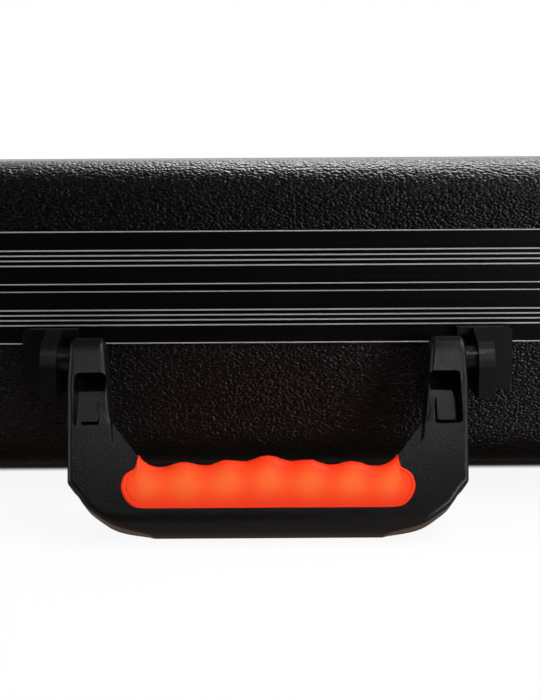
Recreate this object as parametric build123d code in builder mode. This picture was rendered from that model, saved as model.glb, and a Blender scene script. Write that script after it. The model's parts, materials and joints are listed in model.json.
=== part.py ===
from build123d import *
from math import acos, cos, degrees, pi, radians, sin
import os

os.makedirs("parts", exist_ok=True)

# A hard pedalboard case lying closed on its feet, in millimetres.
# X runs along the front, Y towards the hinges and Z up; the floor is Z = 0.

# Case body
case_length = 490.0
case_depth = 290.0
corner_radius = 30.0
edge_round = 16.0
shell_wall = 3.0
base_wall_height = 51.5
lid_wall_height = 26.5

# Ribbed aluminium frame around each half
frame_height = 20.5
frame_wall = 1.6
parting_gap = 2.4
web_thickness = 1.5
groove_depth = 4.5
inner_flange_wall = 1.4
inner_flange_drop = 8.0
tongue_thickness = 1.6
tongue_reach = 2.6
rib_count = 4
rib_pitch = 1.93
rib_height = 0.9
rib_proud = 0.5

# Clearances
rest_gap = 0.3
run_gap = 0.05

# Rubber feet under the base and on the hinge side
foot_height = 12.0
foot_radius = 13.0
foot_top_radius = 15.0
foot_inset = 42.0
foot_chamfer = 1.5
screw_radius = 2.0
screw_head_radius = 3.6
screw_head_height = 2.4
shank_sides = 8
bumper_height = 10.0
bumper_radius = 7.5
bumper_chamfer = 1.2
bumper_taper = 1.0
bumper_inset = 65.0

# Plates that join the ends of the bent frames
joint_plate_half = 22.0
joint_plate_thickness = 1.2
plate_corner = 1.5

# Foam lining
floor_foam_thickness = 8.0
side_foam_thickness = 6.0
side_foam_notch_margin = 2.0
side_foam_notch_clearance = 2.5
lid_foam_thickness = 16.0

# Carrying handle; drops are measured from its pivot along the legs
pivot_out = 14.0
pivot_height = 60.0
handle_reach = 67.5
handle_half_width = 73.3
handle_bar_half_width = 71.3
handle_thickness = 16.0
handle_edge_round = 2.0
handle_corner = 2.5
leg_straight = 12.0
leg_inner_top = 62.0
leg_inner_low = 57.0
leg_bend_round = 5.0
shoulder_rise = 18.5
shoulder_step = 2.4
shoulder_curve = ((5.8, 11.4), (10.8, 7.2), (15.6, 4.2), (27.0, 1.2))
diagonal_foot_half = 46.8
diagonal_rise = 13.0
diagonal_bevel = 4.2
bevel_depth = 7.0
bevel_end_drop = 6.0
window_width = 11.5
window_height = 20.0
window_corner = 2.0
window_centre_half = 64.8
window_centre_drop = 17.8
window_depth = 11.0
window_step_depth = 7.5
window_step_width = 6.6
window_step_height = 9.6
window_step_aside = 0.9
window_step_drop = 1.8

# Soft grip moulded around the handle's bar
rim_below_grip = 9.8
grip_height = 16.4
grip_half_width = 52.0
grip_horn_half = 45.7
grip_horn_rise = 3.1
# The lobe at each end: outside and below the horn, inside the widest point and below the
# horn, then inside the widest point and above the grip's bottom
grip_lobe_neck = (0.9, 4.6)
grip_lobe_curve = ((1.6, 7.8), (0.0, 11.2), (1.0, 14.6))
grip_lobe_foot = ((3.4, 1.9), (6.2, 0.0))
grip_crown = 1.8
grip_wave = 0.8
finger_pitch = 14.65
finger_count = 6
points_per_finger = 4
grip_proud = 0.8
grip_core = 8.0
grip_cover = 3.2
grip_round = 5.0

# Handle brackets
ear_inner = 78.2
ear_thickness = 6.0
bracket_inner = 72.4
bracket_outer = 94.0
bracket_plate = 2.6
bracket_top = 70.0
bracket_bottom = 45.5
bracket_lip_out = 5.0
bracket_lip_height = 3.2
boss_radius = 4.4
pin_radius = 2.5
pin_in_leg = 9.0
backing_width = 20.0
backing_height = 15.0
backing_thickness = 1.5
backing_drop = 4.0
bracket_screw_spread = 11.0
bracket_screw_bite = 1.6
bracket_screw_radius = 1.5
bracket_screw_head = 3.0
bracket_screw_head_height = 1.2
bracket_corner = 3.0
bracket_pad_corner = 1.0
ear_nose = 7.0
ear_cap = 1.5
ear_round = 8.0
ear_slope = 4.5
flare_outer = 90.0
flare_drop = 8.0
flare_waist = (1.6, 2.6)

# Hinges
hinge_inset = 115.0
hinge_width = 60.0
leaf_thickness = 1.5
knuckle_radius = 3.2
hinge_pin_radius = 1.5
knuckle_length = 20.0
hinge_bore_overrun = 2.0
leaf_height = 20.5
hinge_rivet_step = 20.0
hinge_rivet_drop = 17.6
rivet_radius = 1.6
rivet_head_radius = 3.0
rivet_head_height = 1.0

# Draw latches
latch_inset = 80.0
latch_plate_half = 15.0
latch_plate_short = 0.5
latch_plate_lap = 1.0
cheek_root = 6.0
cheek_nose = 3.5
cheek_out = 3.0
cheek_round = 3.0
cheek_cut = 40.0
sheet = 1.5
lever_pivot_out = 7.5
lever_pivot_height = 77.0
lever_half_width = 13.0
lever_wall = 1.5
lever_length = 31.0
lever_window = 17.0
lever_face = 4.0
lever_tip_out = 3.0
lever_tip_width = 1.2
lever_tip_drop = 2.0
lever_tip_back = 1.0
lever_bend_rise = 4.0
lever_eye_radius = 3.5
lever_wall_drop = 3.0
lever_cut = 12.0
latch_open_angle = 30.0
latch_pin_radius = 1.5
latch_rivet_step = 7.0
latch_rivet_rise = 3.6
claw_pivot_drop = 7.0
claw_pivot_in = 0.5
claw_eye_radius = 2.4
claw_root_half = 1.6
claw_bend_round = 0.6
claw_half_width = 8.0
claw_follow = 1.15
claw_strip_out = 4.8
claw_thickness = 1.8
hook_reach_in = 7.8
keeper_ledge_out = 5.5
keeper_ledge_height = 92.0
keeper_half_width = 12.0
keeper_plate_height = 15.0
cylinder_radius = 3.8
cylinder_head_radius = 4.6
cylinder_drop = 22.2
cylinder_head_height = 1.0
cylinder_length = 6.0
keyway_width = 1.2
keyway_length = 5.0
keyway_depth = 2.0

# Levels and places worked out from the sizes above
base_bottom = foot_height
base_frame_bottom = base_bottom + base_wall_height
base_frame_top = base_frame_bottom + frame_height
lid_frame_bottom = base_frame_top + parting_gap
lid_frame_top = lid_frame_bottom + frame_height
lid_top = lid_frame_top + lid_wall_height
groove_floor = base_frame_top - groove_depth
base_shell_top = groove_floor - web_thickness
lid_shell_bottom = lid_frame_bottom + web_thickness
front = -case_depth / 2
back = case_depth / 2
inner_face = frame_wall + shell_wall
flange_face = inner_face + inner_flange_wall
ear_outer = ear_inner + ear_thickness
inner_round = edge_round - shell_wall
parting_height = (base_frame_top + lid_frame_bottom) / 2
hinge_axis_out = rib_proud + knuckle_radius
leaf_root = knuckle_radius + rest_gap
hinge_half_span = case_length / 2 - hinge_inset
latch_half_span = case_length / 2 - latch_inset


def rivet_pairs(half_span, steps, height):
    """Rivet places beside each other, repeated on both sides of the case."""
    return [(side * half_span + step, height) for side in (-1, 1) for step in steps]


hinge_steps = (-hinge_rivet_step, hinge_rivet_step)
hinge_base_rivets = rivet_pairs(hinge_half_span, hinge_steps, parting_height - hinge_rivet_drop)
hinge_lid_rivets = rivet_pairs(hinge_half_span, hinge_steps, parting_height + hinge_rivet_drop)
latch_steps = (-latch_rivet_step, latch_rivet_step)
latch_base_rivets = rivet_pairs(latch_half_span, latch_steps, base_frame_bottom + latch_rivet_rise)
keeper_rivets = rivet_pairs(latch_half_span, latch_steps, lid_frame_top - latch_rivet_rise)
foot_x = case_length / 2 - foot_inset
foot_y = case_depth / 2 - foot_inset
foot_places = {
    "front_left": (-foot_x, -foot_y),
    "front_right": (foot_x, -foot_y),
    "back_left": (-foot_x, foot_y),
    "back_right": (foot_x, foot_y),
}

bumper_heights = {
    "base": (base_bottom + base_frame_bottom) / 2,
    "lid": lid_frame_top + bumper_radius + rest_gap,
}
backing_x = (bracket_inner + bracket_outer) / 2
backing_z = (bracket_top + bracket_bottom) / 2 - backing_drop


def bumper_places(half):
    """Where the two bumpers of one half stand on the hinge side."""
    return [(side * (case_length / 2 - bumper_inset), bumper_heights[half]) for side in (-1, 1)]


def bracket_screw_x(sides=(-1, 1)):
    """Where the two screws of each bracket stand."""
    return [
        side * backing_x + step * bracket_screw_spread / 2 for side in sides for step in (-1, 1)
    ]


def outline(inset):
    """The case's rounded rectangle, drawn the given distance inside the frame's face."""
    return RectangleRounded(
        case_length - 2 * inset, case_depth - 2 * inset, corner_radius - inset
    )


def ring(outer_inset, inner_inset, bottom, top):
    """A closed band that follows the case's outline between two levels."""
    with BuildSketch(Plane.XY.offset(bottom)) as band:
        outline(outer_inset)
        with BuildSketch(mode=Mode.SUBTRACT):
            outline(inner_inset)
    extrude(band.sketch, amount=top - bottom)


def frame_ribs(bottom):
    """The fine ribs pressed along the middle of a frame's face."""
    first = bottom + frame_height / 2 - rib_pitch * (rib_count - 1) / 2 - rib_height / 2
    for rib in range(rib_count):
        level = first + rib * rib_pitch
        ring(-rib_proud, frame_wall / 2, level, level + rib_height)


def side_plane(x, out, height, angle=0.0):
    """A plane seen from the side: local x points out of the front, local y up."""
    turn = radians(angle)
    return Plane(
        origin=(x, front - out, height),
        x_dir=(0, -cos(turn), sin(turn)),
        z_dir=(-1, 0, 0),
    )


def front_plane(x, out, height):
    """A plane seen from the front: local x is X, local y is Z and local z points out."""
    return Plane(origin=(x, front - out, height), x_dir=(1, 0, 0), z_dir=(0, -1, 0))


def back_plane(x, out, height):
    """A plane seen from the hinge side: local y is Z and local z points out."""
    return Plane(origin=(x, back + out, height), x_dir=(-1, 0, 0), z_dir=(0, 1, 0))


def handle_pin_plane(x, facing):
    """A plane across the handle's pivot line, facing along X by the sign given."""
    return Plane(origin=(x, front - pivot_out, pivot_height), z_dir=(facing, 0, 0))


def hinge_pin_plane(x):
    """A plane across the hinges' common axis."""
    return Plane(origin=(x, back + hinge_axis_out, parting_height), z_dir=(1, 0, 0))


def drill_rivets(places, plane):
    """Round holes for the rivets at the given places."""
    with Locations(*[plane(x, 0, height) for x, height in places]):
        Cylinder(rivet_radius, 2 * (frame_wall + rib_proud + sheet), mode=Mode.SUBTRACT)


def rivets(places, plane, seat):
    """Rivets whose heads sit the given distance outside the frame's face."""
    for x, height in places:
        with BuildSketch(plane(x, -frame_wall, height)) as shank:
            RegularPolygon(rivet_radius, shank_sides)
        extrude(shank.sketch, amount=frame_wall + seat)
        with BuildSketch(plane(x, seat, height)) as head:
            Circle(rivet_head_radius)
        extrude(head.sketch, amount=rivet_head_height)


def save(part, name):
    part.label = name
    export_step(part, f"parts/{name}.step")


# Shells

with BuildPart() as base_shell:
    with BuildSketch(Plane.XY.offset(base_bottom)):
        outline(frame_wall)
    extrude(amount=base_shell_top - base_bottom)
    fillet(base_shell.faces().sort_by(Axis.Z)[0].edges(), edge_round)
    offset(amount=-shell_wall, openings=base_shell.faces().sort_by(Axis.Z)[-1])
    with Locations(*[(x, y, base_bottom) for x, y in foot_places.values()]):
        Cylinder(screw_radius, 3 * shell_wall, mode=Mode.SUBTRACT)
    with Locations(*[back_plane(x, -frame_wall, z) for x, z in bumper_places("base")]):
        Cylinder(screw_radius, 3 * shell_wall, mode=Mode.SUBTRACT)
    with Locations(*[front_plane(x, -frame_wall, backing_z) for x in bracket_screw_x()]):
        Cylinder(bracket_screw_radius, 3 * shell_wall, mode=Mode.SUBTRACT)
save(base_shell.part, "base_shell")

with BuildPart() as lid_shell:
    with BuildSketch(Plane.XY.offset(lid_shell_bottom)):
        outline(frame_wall)
    extrude(amount=lid_top - lid_shell_bottom)
    fillet(lid_shell.faces().sort_by(Axis.Z)[-1].edges(), edge_round)
    offset(amount=-shell_wall, openings=lid_shell.faces().sort_by(Axis.Z)[0])
    with Locations(*[back_plane(x, -frame_wall, z) for x, z in bumper_places("lid")]):
        Cylinder(screw_radius, 3 * shell_wall, mode=Mode.SUBTRACT)
save(lid_shell.part, "lid_shell")

with BuildPart() as base_frame:
    ring(0, frame_wall, base_frame_bottom, base_frame_top)
    ring(frame_wall / 2, flange_face, base_shell_top, groove_floor)
    ring(inner_face, flange_face, base_shell_top - inner_flange_drop, base_frame_top)
    frame_ribs(base_frame_bottom)
    drill_rivets(hinge_base_rivets, back_plane)
    drill_rivets(latch_base_rivets, front_plane)
save(base_frame.part, "base_frame")

with BuildPart() as lid_frame:
    ring(0, frame_wall, lid_frame_bottom, lid_frame_top)
    ring(frame_wall / 2, flange_face, lid_frame_bottom, lid_shell_bottom)
    ring(inner_face, flange_face, lid_frame_bottom, lid_shell_bottom + inner_flange_drop)
    tongue_inset = frame_wall + rest_gap
    ring(
        tongue_inset,
        tongue_inset + tongue_thickness,
        base_frame_top - tongue_reach,
        lid_shell_bottom,
    )
    frame_ribs(lid_frame_bottom)
    drill_rivets(hinge_lid_rivets, back_plane)
    drill_rivets(keeper_rivets, front_plane)
save(lid_frame.part, "lid_frame")

# Plates inside the rear that join the two ends of each bent frame

joint_plate_height = inner_flange_drop - 2 * rest_gap


def joint_plate(bottom):
    """A flat strip lying on the rear inner flange."""
    with BuildSketch(back_plane(0, -flange_face, bottom + joint_plate_height / 2)) as strip:
        Rectangle(2 * joint_plate_half, joint_plate_height)
    extrude(strip.sketch, amount=-joint_plate_thickness)
    fillet(edges().filter_by(Axis.Y), plate_corner)


with BuildPart() as base_joint_plate:
    joint_plate(base_shell_top - inner_flange_drop + rest_gap)
save(base_joint_plate.part, "base_joint_plate")

with BuildPart() as lid_joint_plate:
    joint_plate(lid_shell_bottom + rest_gap)
save(lid_joint_plate.part, "lid_joint_plate")

# Foam lining

floor_inset = inner_face + inner_round
base_floor = base_bottom + shell_wall
lid_ceiling = lid_top - shell_wall
side_foam_bottom = base_floor + inner_round + rest_gap
side_foam_top = base_shell_top - inner_flange_drop - rest_gap

with BuildPart() as base_floor_foam:
    with BuildSketch(Plane.XY.offset(base_floor + rest_gap)):
        outline(floor_inset)
    extrude(amount=floor_foam_thickness)
save(base_floor_foam.part, "base_floor_foam")

with BuildPart() as base_side_foam:
    ring(
        inner_face + rest_gap,
        inner_face + rest_gap + side_foam_thickness,
        side_foam_bottom,
        side_foam_top,
    )
    for side in (-1, 1):
        with BuildSketch(front_plane(side * backing_x, -inner_face, backing_z)) as notch:
            Rectangle(
                backing_width + 2 * side_foam_notch_margin,
                backing_height + 2 * side_foam_notch_margin,
            )
        notch_depth = backing_thickness + side_foam_notch_clearance
        extrude(notch.sketch, amount=-notch_depth, mode=Mode.SUBTRACT)
save(base_side_foam.part, "base_side_foam")

with BuildPart() as lid_foam:
    with BuildSketch(Plane.XY.offset(lid_ceiling - rest_gap)):
        outline(floor_inset)
    extrude(amount=-lid_foam_thickness)
save(lid_foam.part, "lid_foam")

# Rubber feet, with their screws driven up into the shell

head_seat = foot_height / 2

for place, (x, y) in foot_places.items():
    with BuildPart() as foot:
        with BuildSketch(Plane((x, y, 0))):
            Circle(foot_radius)
        with BuildSketch(Plane((x, y, foot_height))):
            Circle(foot_top_radius)
        loft()
        chamfer(foot.edges().sort_by(Axis.Z)[0], foot_chamfer)
        with Locations(Plane((x, y, 0), z_dir=(0, 0, -1))):
            CounterBoreHole(screw_radius, screw_head_radius + rest_gap, head_seat)
    save(foot.part, f"foot_{place}")

with BuildPart() as foot_screws:
    for x, y in foot_places.values():
        with BuildSketch(Plane((x, y, head_seat))) as head:
            Circle(screw_head_radius)
        extrude(head.sketch, amount=-screw_head_height)
        with BuildSketch(Plane((x, y, head_seat))) as shank:
            RegularPolygon(screw_radius, shank_sides)
        extrude(shank.sketch, amount=base_floor - head_seat)
save(foot_screws.part, "foot_screws")


# Carrying handle, swung out so that its grip lies on the floor

bar_round = handle_thickness / 2
handle_eye_radius = bar_round
leg_top = 2 * handle_eye_radius
handle_tilt = degrees(acos((pivot_height - bar_round) / (handle_reach - bar_round)))
tilt = radians(handle_tilt)
handle_front = Plane(
    origin=(0, front - pivot_out, pivot_height),
    x_dir=(1, 0, 0),
    z_dir=(0, -cos(tilt), sin(tilt)),
)
handle_side = side_plane(0, pivot_out, pivot_height, handle_tilt)
grip_bottom_drop = handle_reach - rim_below_grip
grip_top_drop = grip_bottom_drop - grip_height
grip_horn_drop = grip_top_drop - grip_horn_rise
core_top_drop = grip_top_drop + grip_cover
diagonal_foot_drop = grip_horn_drop
leg_bend_drop = diagonal_foot_drop - diagonal_rise
shoulder_drop = handle_reach - shoulder_rise


def grip_outline():
    """The grip seen from the front: lobed ends, scalloped top and a straight bottom."""
    half_teeth = finger_count / 2 * finger_pitch
    with BuildLine() as edge:
        points = []
        for step in range(finger_count * points_per_finger + 1):
            x = -half_teeth + step * finger_pitch / points_per_finger
            wave = grip_wave * cos(2 * pi * x / finger_pitch)
            crown = grip_crown * cos(pi / 2 * x / half_teeth)
            points.append((x, -grip_top_drop + wave + crown))
        top = Spline(*points)
        feet = []
        for side in (-1, 1):
            end = top @ (0 if side < 0 else 1)
            outward, drop = grip_lobe_neck
            lobe = [
                (side * grip_horn_half, -grip_horn_drop),
                (side * (grip_horn_half + outward), -grip_horn_drop - drop),
            ]
            for inward, drop in grip_lobe_curve:
                lobe.append((side * (grip_half_width - inward), -grip_horn_drop - drop))
            for inward, rise in grip_lobe_foot:
                lobe.append((side * (grip_half_width - inward), -grip_bottom_drop + rise))
            Line(end, lobe[0])
            Spline(*lobe)
            feet.append(lobe[-1])
        Line(*feet)
    make_face(edge.edges())


def handle_outline():
    """The handle seen from the front, with both legs and the bar."""
    slope = (leg_inner_low - diagonal_foot_half) / (diagonal_foot_drop - leg_bend_drop)
    core_corner = diagonal_foot_half - slope * (core_top_drop - diagonal_foot_drop)
    with BuildLine() as edge:
        for side in (-1, 1):
            FilletPolyline(
                (side * leg_inner_top, leg_top),
                (side * leg_inner_low, -leg_bend_drop),
                (side * core_corner, -core_top_drop),
                radius=leg_bend_round,
            )
            outer = FilletPolyline(
                (side * leg_inner_top, leg_top),
                (side * handle_half_width, leg_top),
                (side * handle_half_width, -leg_straight),
                (side * handle_bar_half_width, -shoulder_drop),
                (side * (handle_bar_half_width - shoulder_step), -shoulder_drop - shoulder_step),
                radius=handle_corner,
            )
            rounded_end = [
                (side * (handle_bar_half_width - inward), -handle_reach + rise)
                for inward, rise in shoulder_curve
            ]
            Spline(
                outer @ 1,
                *rounded_end,
                (0, -handle_reach),
                tangents=[outer % 1, (-side, 0)],
            )
        Line((-core_corner, -core_top_drop), (core_corner, -core_top_drop))
    make_face(edge.edges())


with BuildPart() as handle_side_shape:
    with BuildSketch(handle_side):
        with Locations((0, -handle_reach / 2 + bar_round / 2)):
            SlotOverall(handle_reach + bar_round, handle_thickness, rotation=90)
    extrude(amount=handle_half_width, both=True)

with BuildPart() as grip_section:
    # The grip's section along its whole width, rounded towards the fingers
    half_thick = bar_round + grip_proud
    with BuildSketch(handle_side):
        with BuildLine():
            FilletPolyline(
                (-half_thick, -handle_reach),
                (-half_thick, -grip_horn_drop + grip_round / 4),
                (half_thick, -grip_horn_drop + grip_round / 4),
                (half_thick, -handle_reach),
                radius=grip_round,
            )
            Line((half_thick, -handle_reach), (-half_thick, -handle_reach))
        make_face()
    extrude(amount=handle_half_width, both=True)

with BuildPart() as grip_bed:
    with BuildSketch(handle_front):
        grip_outline()
    extrude(amount=bar_round + grip_proud, both=True)
    with BuildSketch(handle_front):
        with Locations((0, -core_top_drop - handle_reach)):
            Rectangle(2 * handle_half_width, 2 * handle_reach)
    extrude(amount=grip_core / 2, both=True, mode=Mode.SUBTRACT)

with BuildPart() as bevel_cut:
    # Wedges that slope the front edge of each diagonal back, up to the line of the leg
    for side in (-1, 1):
        foot = handle_front.from_local_coords(
            Vector(side * diagonal_foot_half, -diagonal_foot_drop, bar_round)
        )
        bend = handle_front.from_local_coords(
            Vector(side * leg_inner_low, -leg_bend_drop, bar_round)
        )
        with BuildSketch(Plane(origin=foot, x_dir=handle_front.z_dir, z_dir=bend - foot)):
            with BuildLine():
                Polyline(
                    (0, -side * diagonal_bevel),
                    (diagonal_bevel, -side * diagonal_bevel),
                    (diagonal_bevel, side * diagonal_bevel),
                    (-bevel_depth, side * diagonal_bevel),
                    (-bevel_depth, 0),
                    close=True,
                )
            make_face()
        extrude(amount=handle_reach / 2, both=True)
    leg_slope = (leg_inner_top - leg_inner_low) / (leg_bend_drop + leg_top)
    bevel_end = diagonal_foot_drop + bevel_end_drop
    with BuildSketch(handle_front):
        for side in (-1, 1):
            with BuildLine():
                Polyline(
                    (side * leg_inner_top, leg_top),
                    (side * (leg_inner_low - leg_slope * (bevel_end - leg_bend_drop)), -bevel_end),
                    (side * leg_inner_low / 2, -bevel_end),
                    (side * leg_inner_low / 2, leg_top),
                    close=True,
                )
            make_face()
    extrude(amount=handle_reach, both=True, mode=Mode.INTERSECT)

window_places = [(side * window_centre_half, -window_centre_drop) for side in (-1, 1)]
handle_across = Axis((0, 0, 0), handle_front.z_dir)
handle_pin_planes = [handle_pin_plane(side * handle_half_width, 1) for side in (-1, 1)]

with BuildPart() as handle_body:
    with BuildSketch(handle_front):
        handle_outline()
    extrude(amount=handle_eye_radius, both=True)
    add(handle_side_shape.part, mode=Mode.INTERSECT)
    flats = handle_body.faces().filter_by(handle_across)
    rims = flats.edges().filter_by(Axis.X, reverse=True)
    fillet(rims, handle_edge_round)
    add(grip_bed.part, mode=Mode.SUBTRACT)
    add(bevel_cut.part, mode=Mode.SUBTRACT)
    with BuildSketch(handle_front.offset(bar_round)):
        with Locations(*window_places):
            RectangleRounded(window_width, window_height, window_corner)
    extrude(amount=-window_depth, mode=Mode.SUBTRACT)
    with BuildSketch(handle_front.offset(bar_round - window_depth)):
        for side in (-1, 1):
            step_x = side * (window_centre_half + window_step_aside)
            with Locations((step_x, -window_centre_drop - window_step_drop)):
                RectangleRounded(window_step_width, window_step_height, window_corner / 2)
    extrude(amount=window_depth - window_step_depth)
    with Locations(*handle_pin_planes):
        Cylinder(pin_radius + run_gap, 2 * pin_in_leg, mode=Mode.SUBTRACT)
save(handle_body.part, "handle_body")

with BuildPart() as handle_grip:
    add(grip_bed.part)
    add(grip_section.part, mode=Mode.INTERSECT)
save(handle_grip.part, "handle_grip")
print("handle tilt", round(handle_tilt, 2), "lowest point", handle_body.part.bounding_box().min.Z)

# Handle brackets: a plate with one ear outboard of the leg, and a boss for the pin


def bracket_profile():
    """The ear seen from the side: sloped top, rounded nose and a flat lower end."""
    nose = pivot_out + ear_nose
    with BuildLine() as edge:
        FilletPolyline(
            (0, bracket_top),
            (bracket_lip_out, bracket_top),
            (nose - ear_cap * 2, bracket_top - ear_slope),
            (nose, pivot_height - ear_cap),
            (nose, bracket_bottom),
            radius=ear_round,
        )
        Polyline(
            (nose, bracket_bottom),
            (-frame_wall, bracket_bottom),
            (-frame_wall, base_frame_bottom),
            (rib_proud, base_frame_bottom),
            (rib_proud, bracket_top),
            (0, bracket_top),
        )
    make_face(edge.edges())


def bracket(side):
    """One bracket, mirrored by the sign of the side that it stands on."""
    ear_middle = side * (ear_inner + ear_thickness / 2)
    plate_middle = side * (bracket_inner + bracket_outer) / 2
    plate_width = bracket_outer - bracket_inner
    plate_height = bracket_top - bracket_bottom
    middle_height = (bracket_top + bracket_bottom) / 2
    with BuildSketch(front_plane(plate_middle, 0, middle_height)) as plate:
        RectangleRounded(plate_width, plate_height, bracket_corner)
    extrude(plate.sketch, amount=bracket_plate)
    with BuildSketch(front_plane(plate_middle, 0, (base_frame_bottom + bracket_bottom) / 2)) as pad:
        RectangleRounded(plate_width, base_frame_bottom - bracket_bottom, bracket_pad_corner)
    extrude(pad.sketch, amount=-frame_wall)
    with BuildSketch(side_plane(ear_middle, 0, 0)) as ear:
        bracket_profile()
    extrude(ear.sketch, amount=ear_thickness / 2, both=True)
    with BuildSketch(front_plane(0, 0, 0)) as flare:
        with BuildLine() as edge:
            top = Line((side * bracket_inner, bracket_top), (side * flare_outer, bracket_top))
            waist_out, waist_drop = flare_waist
            ThreePointArc(
                top @ 1,
                (side * (ear_outer + waist_out), bracket_top - waist_drop),
                (side * ear_outer, bracket_top - flare_drop),
            )
            Polyline(
                (side * ear_outer, bracket_top - flare_drop),
                (side * ear_inner, bracket_top - flare_drop),
                (side * ear_inner, bracket_top - bracket_lip_height),
                (side * bracket_inner, bracket_top - bracket_lip_height),
                top @ 0,
            )
        make_face(edge.edges())
    extrude(flare.sketch, amount=bracket_lip_out)
    with BuildSketch(handle_pin_plane(side * ear_inner, -side)) as boss:
        Circle(boss_radius)
    extrude(boss.sketch, amount=ear_inner - handle_half_width - rest_gap)
    with BuildSketch(handle_pin_plane(side * (ear_outer - ear_cap), -side)) as bore:
        Circle(pin_radius)
    extrude(bore.sketch, amount=2 * ear_thickness, mode=Mode.SUBTRACT)
    with Locations(*[front_plane(x, -frame_wall, backing_z) for x in bracket_screw_x((side,))]):
        Cylinder(bracket_screw_radius, 2 * bracket_screw_bite, mode=Mode.SUBTRACT)


for side, word in ((-1, "left"), (1, "right")):
    with BuildPart() as handle_bracket:
        bracket(side)
    save(handle_bracket.part, f"handle_bracket_{word}")

    with BuildPart() as handle_pin:
        pin_end = side * (handle_half_width - pin_in_leg + rest_gap)
        pin_head = side * (ear_outer - ear_cap)
        with BuildSketch(handle_pin_plane(pin_end, side)):
            Circle(pin_radius)
        extrude(amount=abs(pin_head - pin_end))
    save(handle_pin.part, f"handle_pin_{word}")

    with BuildPart() as bracket_backing:
        with BuildSketch(front_plane(side * backing_x, -inner_face, backing_z)):
            RectangleRounded(backing_width, backing_height, plate_corner)
            with Locations((-bracket_screw_spread / 2, 0), (bracket_screw_spread / 2, 0)):
                Circle(bracket_screw_radius, mode=Mode.SUBTRACT)
        extrude(amount=-backing_thickness)
    save(bracket_backing.part, f"bracket_backing_{word}")

with BuildPart() as bracket_screws:
    for side in (-1, 1):
        for x in bracket_screw_x((side,)):
            inside = front_plane(x, -inner_face - backing_thickness, backing_z)
            with BuildSketch(inside) as head:
                Circle(bracket_screw_head)
            extrude(head.sketch, amount=-bracket_screw_head_height)
            with BuildSketch(inside) as shank:
                RegularPolygon(bracket_screw_radius, shank_sides)
            extrude(shank.sketch, amount=backing_thickness + shell_wall + bracket_screw_bite)
save(bracket_screws.part, "bracket_screws")

# Hinges: two leaves and a pin each, with the axis behind the parting line


def knuckle(x, start, end):
    """One barrel of a hinge, from start to end along X."""
    with BuildSketch(hinge_pin_plane(x + start)) as barrel:
        Circle(knuckle_radius)
    extrude(barrel.sketch, amount=end - start)


def hinge_leaf(x, up, spans):
    """A leaf lying on the frame's ribs, with barrels over the given spans."""
    leaf_middle = parting_height + up * (leaf_root + leaf_height) / 2
    with BuildSketch(back_plane(x, rib_proud, leaf_middle)) as plate:
        Rectangle(hinge_width, leaf_height - leaf_root)
    extrude(plate.sketch, amount=leaf_thickness)
    fillet(edges().filter_by(Axis.Y).sort_by(Axis.Z, reverse=up > 0)[:2], plate_corner)
    for start, end in spans:
        knuckle(x, start, end)
        root = back_plane(x + (start + end) / 2, rib_proud, parting_height + up * leaf_root / 2)
        with BuildSketch(root) as web:
            Rectangle(end - start, leaf_root)
        extrude(web.sketch, amount=leaf_thickness)


def drill_hinge(x, radius):
    """The bore for the pin, through every barrel."""
    with Locations(hinge_pin_plane(x)):
        Cylinder(radius, hinge_width + hinge_bore_overrun, mode=Mode.SUBTRACT)


outer = hinge_width / 2
inner = knuckle_length / 2

for side, word in ((-1, "left"), (1, "right")):
    x = side * hinge_half_span
    with BuildPart() as hinge_base_leaf:
        hinge_leaf(x, -1, ((-outer, -inner), (inner, outer)))
        drill_hinge(x, hinge_pin_radius)
        drill_rivets(hinge_base_rivets, back_plane)
    save(hinge_base_leaf.part, f"hinge_base_leaf_{word}")

    with BuildPart() as hinge_lid_leaf:
        hinge_leaf(x, 1, ((-inner + rest_gap, inner - rest_gap),))
        drill_hinge(x, hinge_pin_radius + run_gap)
        drill_rivets(hinge_lid_rivets, back_plane)
    save(hinge_lid_leaf.part, f"hinge_lid_leaf_{word}")

    with BuildPart() as hinge_pin:
        with BuildSketch(hinge_pin_plane(x - outer)):
            Circle(hinge_pin_radius)
        extrude(amount=hinge_width)
    save(hinge_pin.part, f"hinge_pin_{word}")

with BuildPart() as hinge_rivets_base:
    rivets(hinge_base_rivets, back_plane, rib_proud + leaf_thickness)
save(hinge_rivets_base.part, "hinge_rivets_base")

with BuildPart() as hinge_rivets_lid:
    rivets(hinge_lid_rivets, back_plane, rib_proud + leaf_thickness)
save(hinge_rivets_lid.part, "hinge_rivets_lid")

# Bumpers on the hinge side, for standing the case up

for half in bumper_heights:
    for (x, height), word in zip(bumper_places(half), ("left", "right")):
        with BuildPart() as bumper:
            with BuildSketch(back_plane(x, -frame_wall, height)):
                Circle(bumper_radius)
            with BuildSketch(back_plane(x, bumper_height - frame_wall, height)):
                Circle(bumper_radius - bumper_taper)
            loft()
            chamfer(bumper.edges().sort_by(Axis.Y)[-1], bumper_chamfer)
            with Locations(back_plane(x, bumper_height - frame_wall, height)):
                CounterBoreHole(
                    screw_radius, screw_head_radius + rest_gap, bumper_height / 2
                )
        save(bumper.part, f"bumper_{half}_{word}")

    with BuildPart() as bumper_screws:
        for x, height in bumper_places(half):
            seat = back_plane(x, bumper_height / 2 - frame_wall, height)
            with BuildSketch(seat) as head:
                Circle(screw_head_radius)
            extrude(head.sketch, amount=screw_head_height)
            with BuildSketch(seat) as shank:
                RegularPolygon(screw_radius, shank_sides)
            extrude(shank.sketch, amount=-bumper_height / 2 - shell_wall)
    save(bumper_screws.part, f"bumper_screws_{half}")

# Draw latches: the lever lifts the claw off the keeper's ledge

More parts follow.
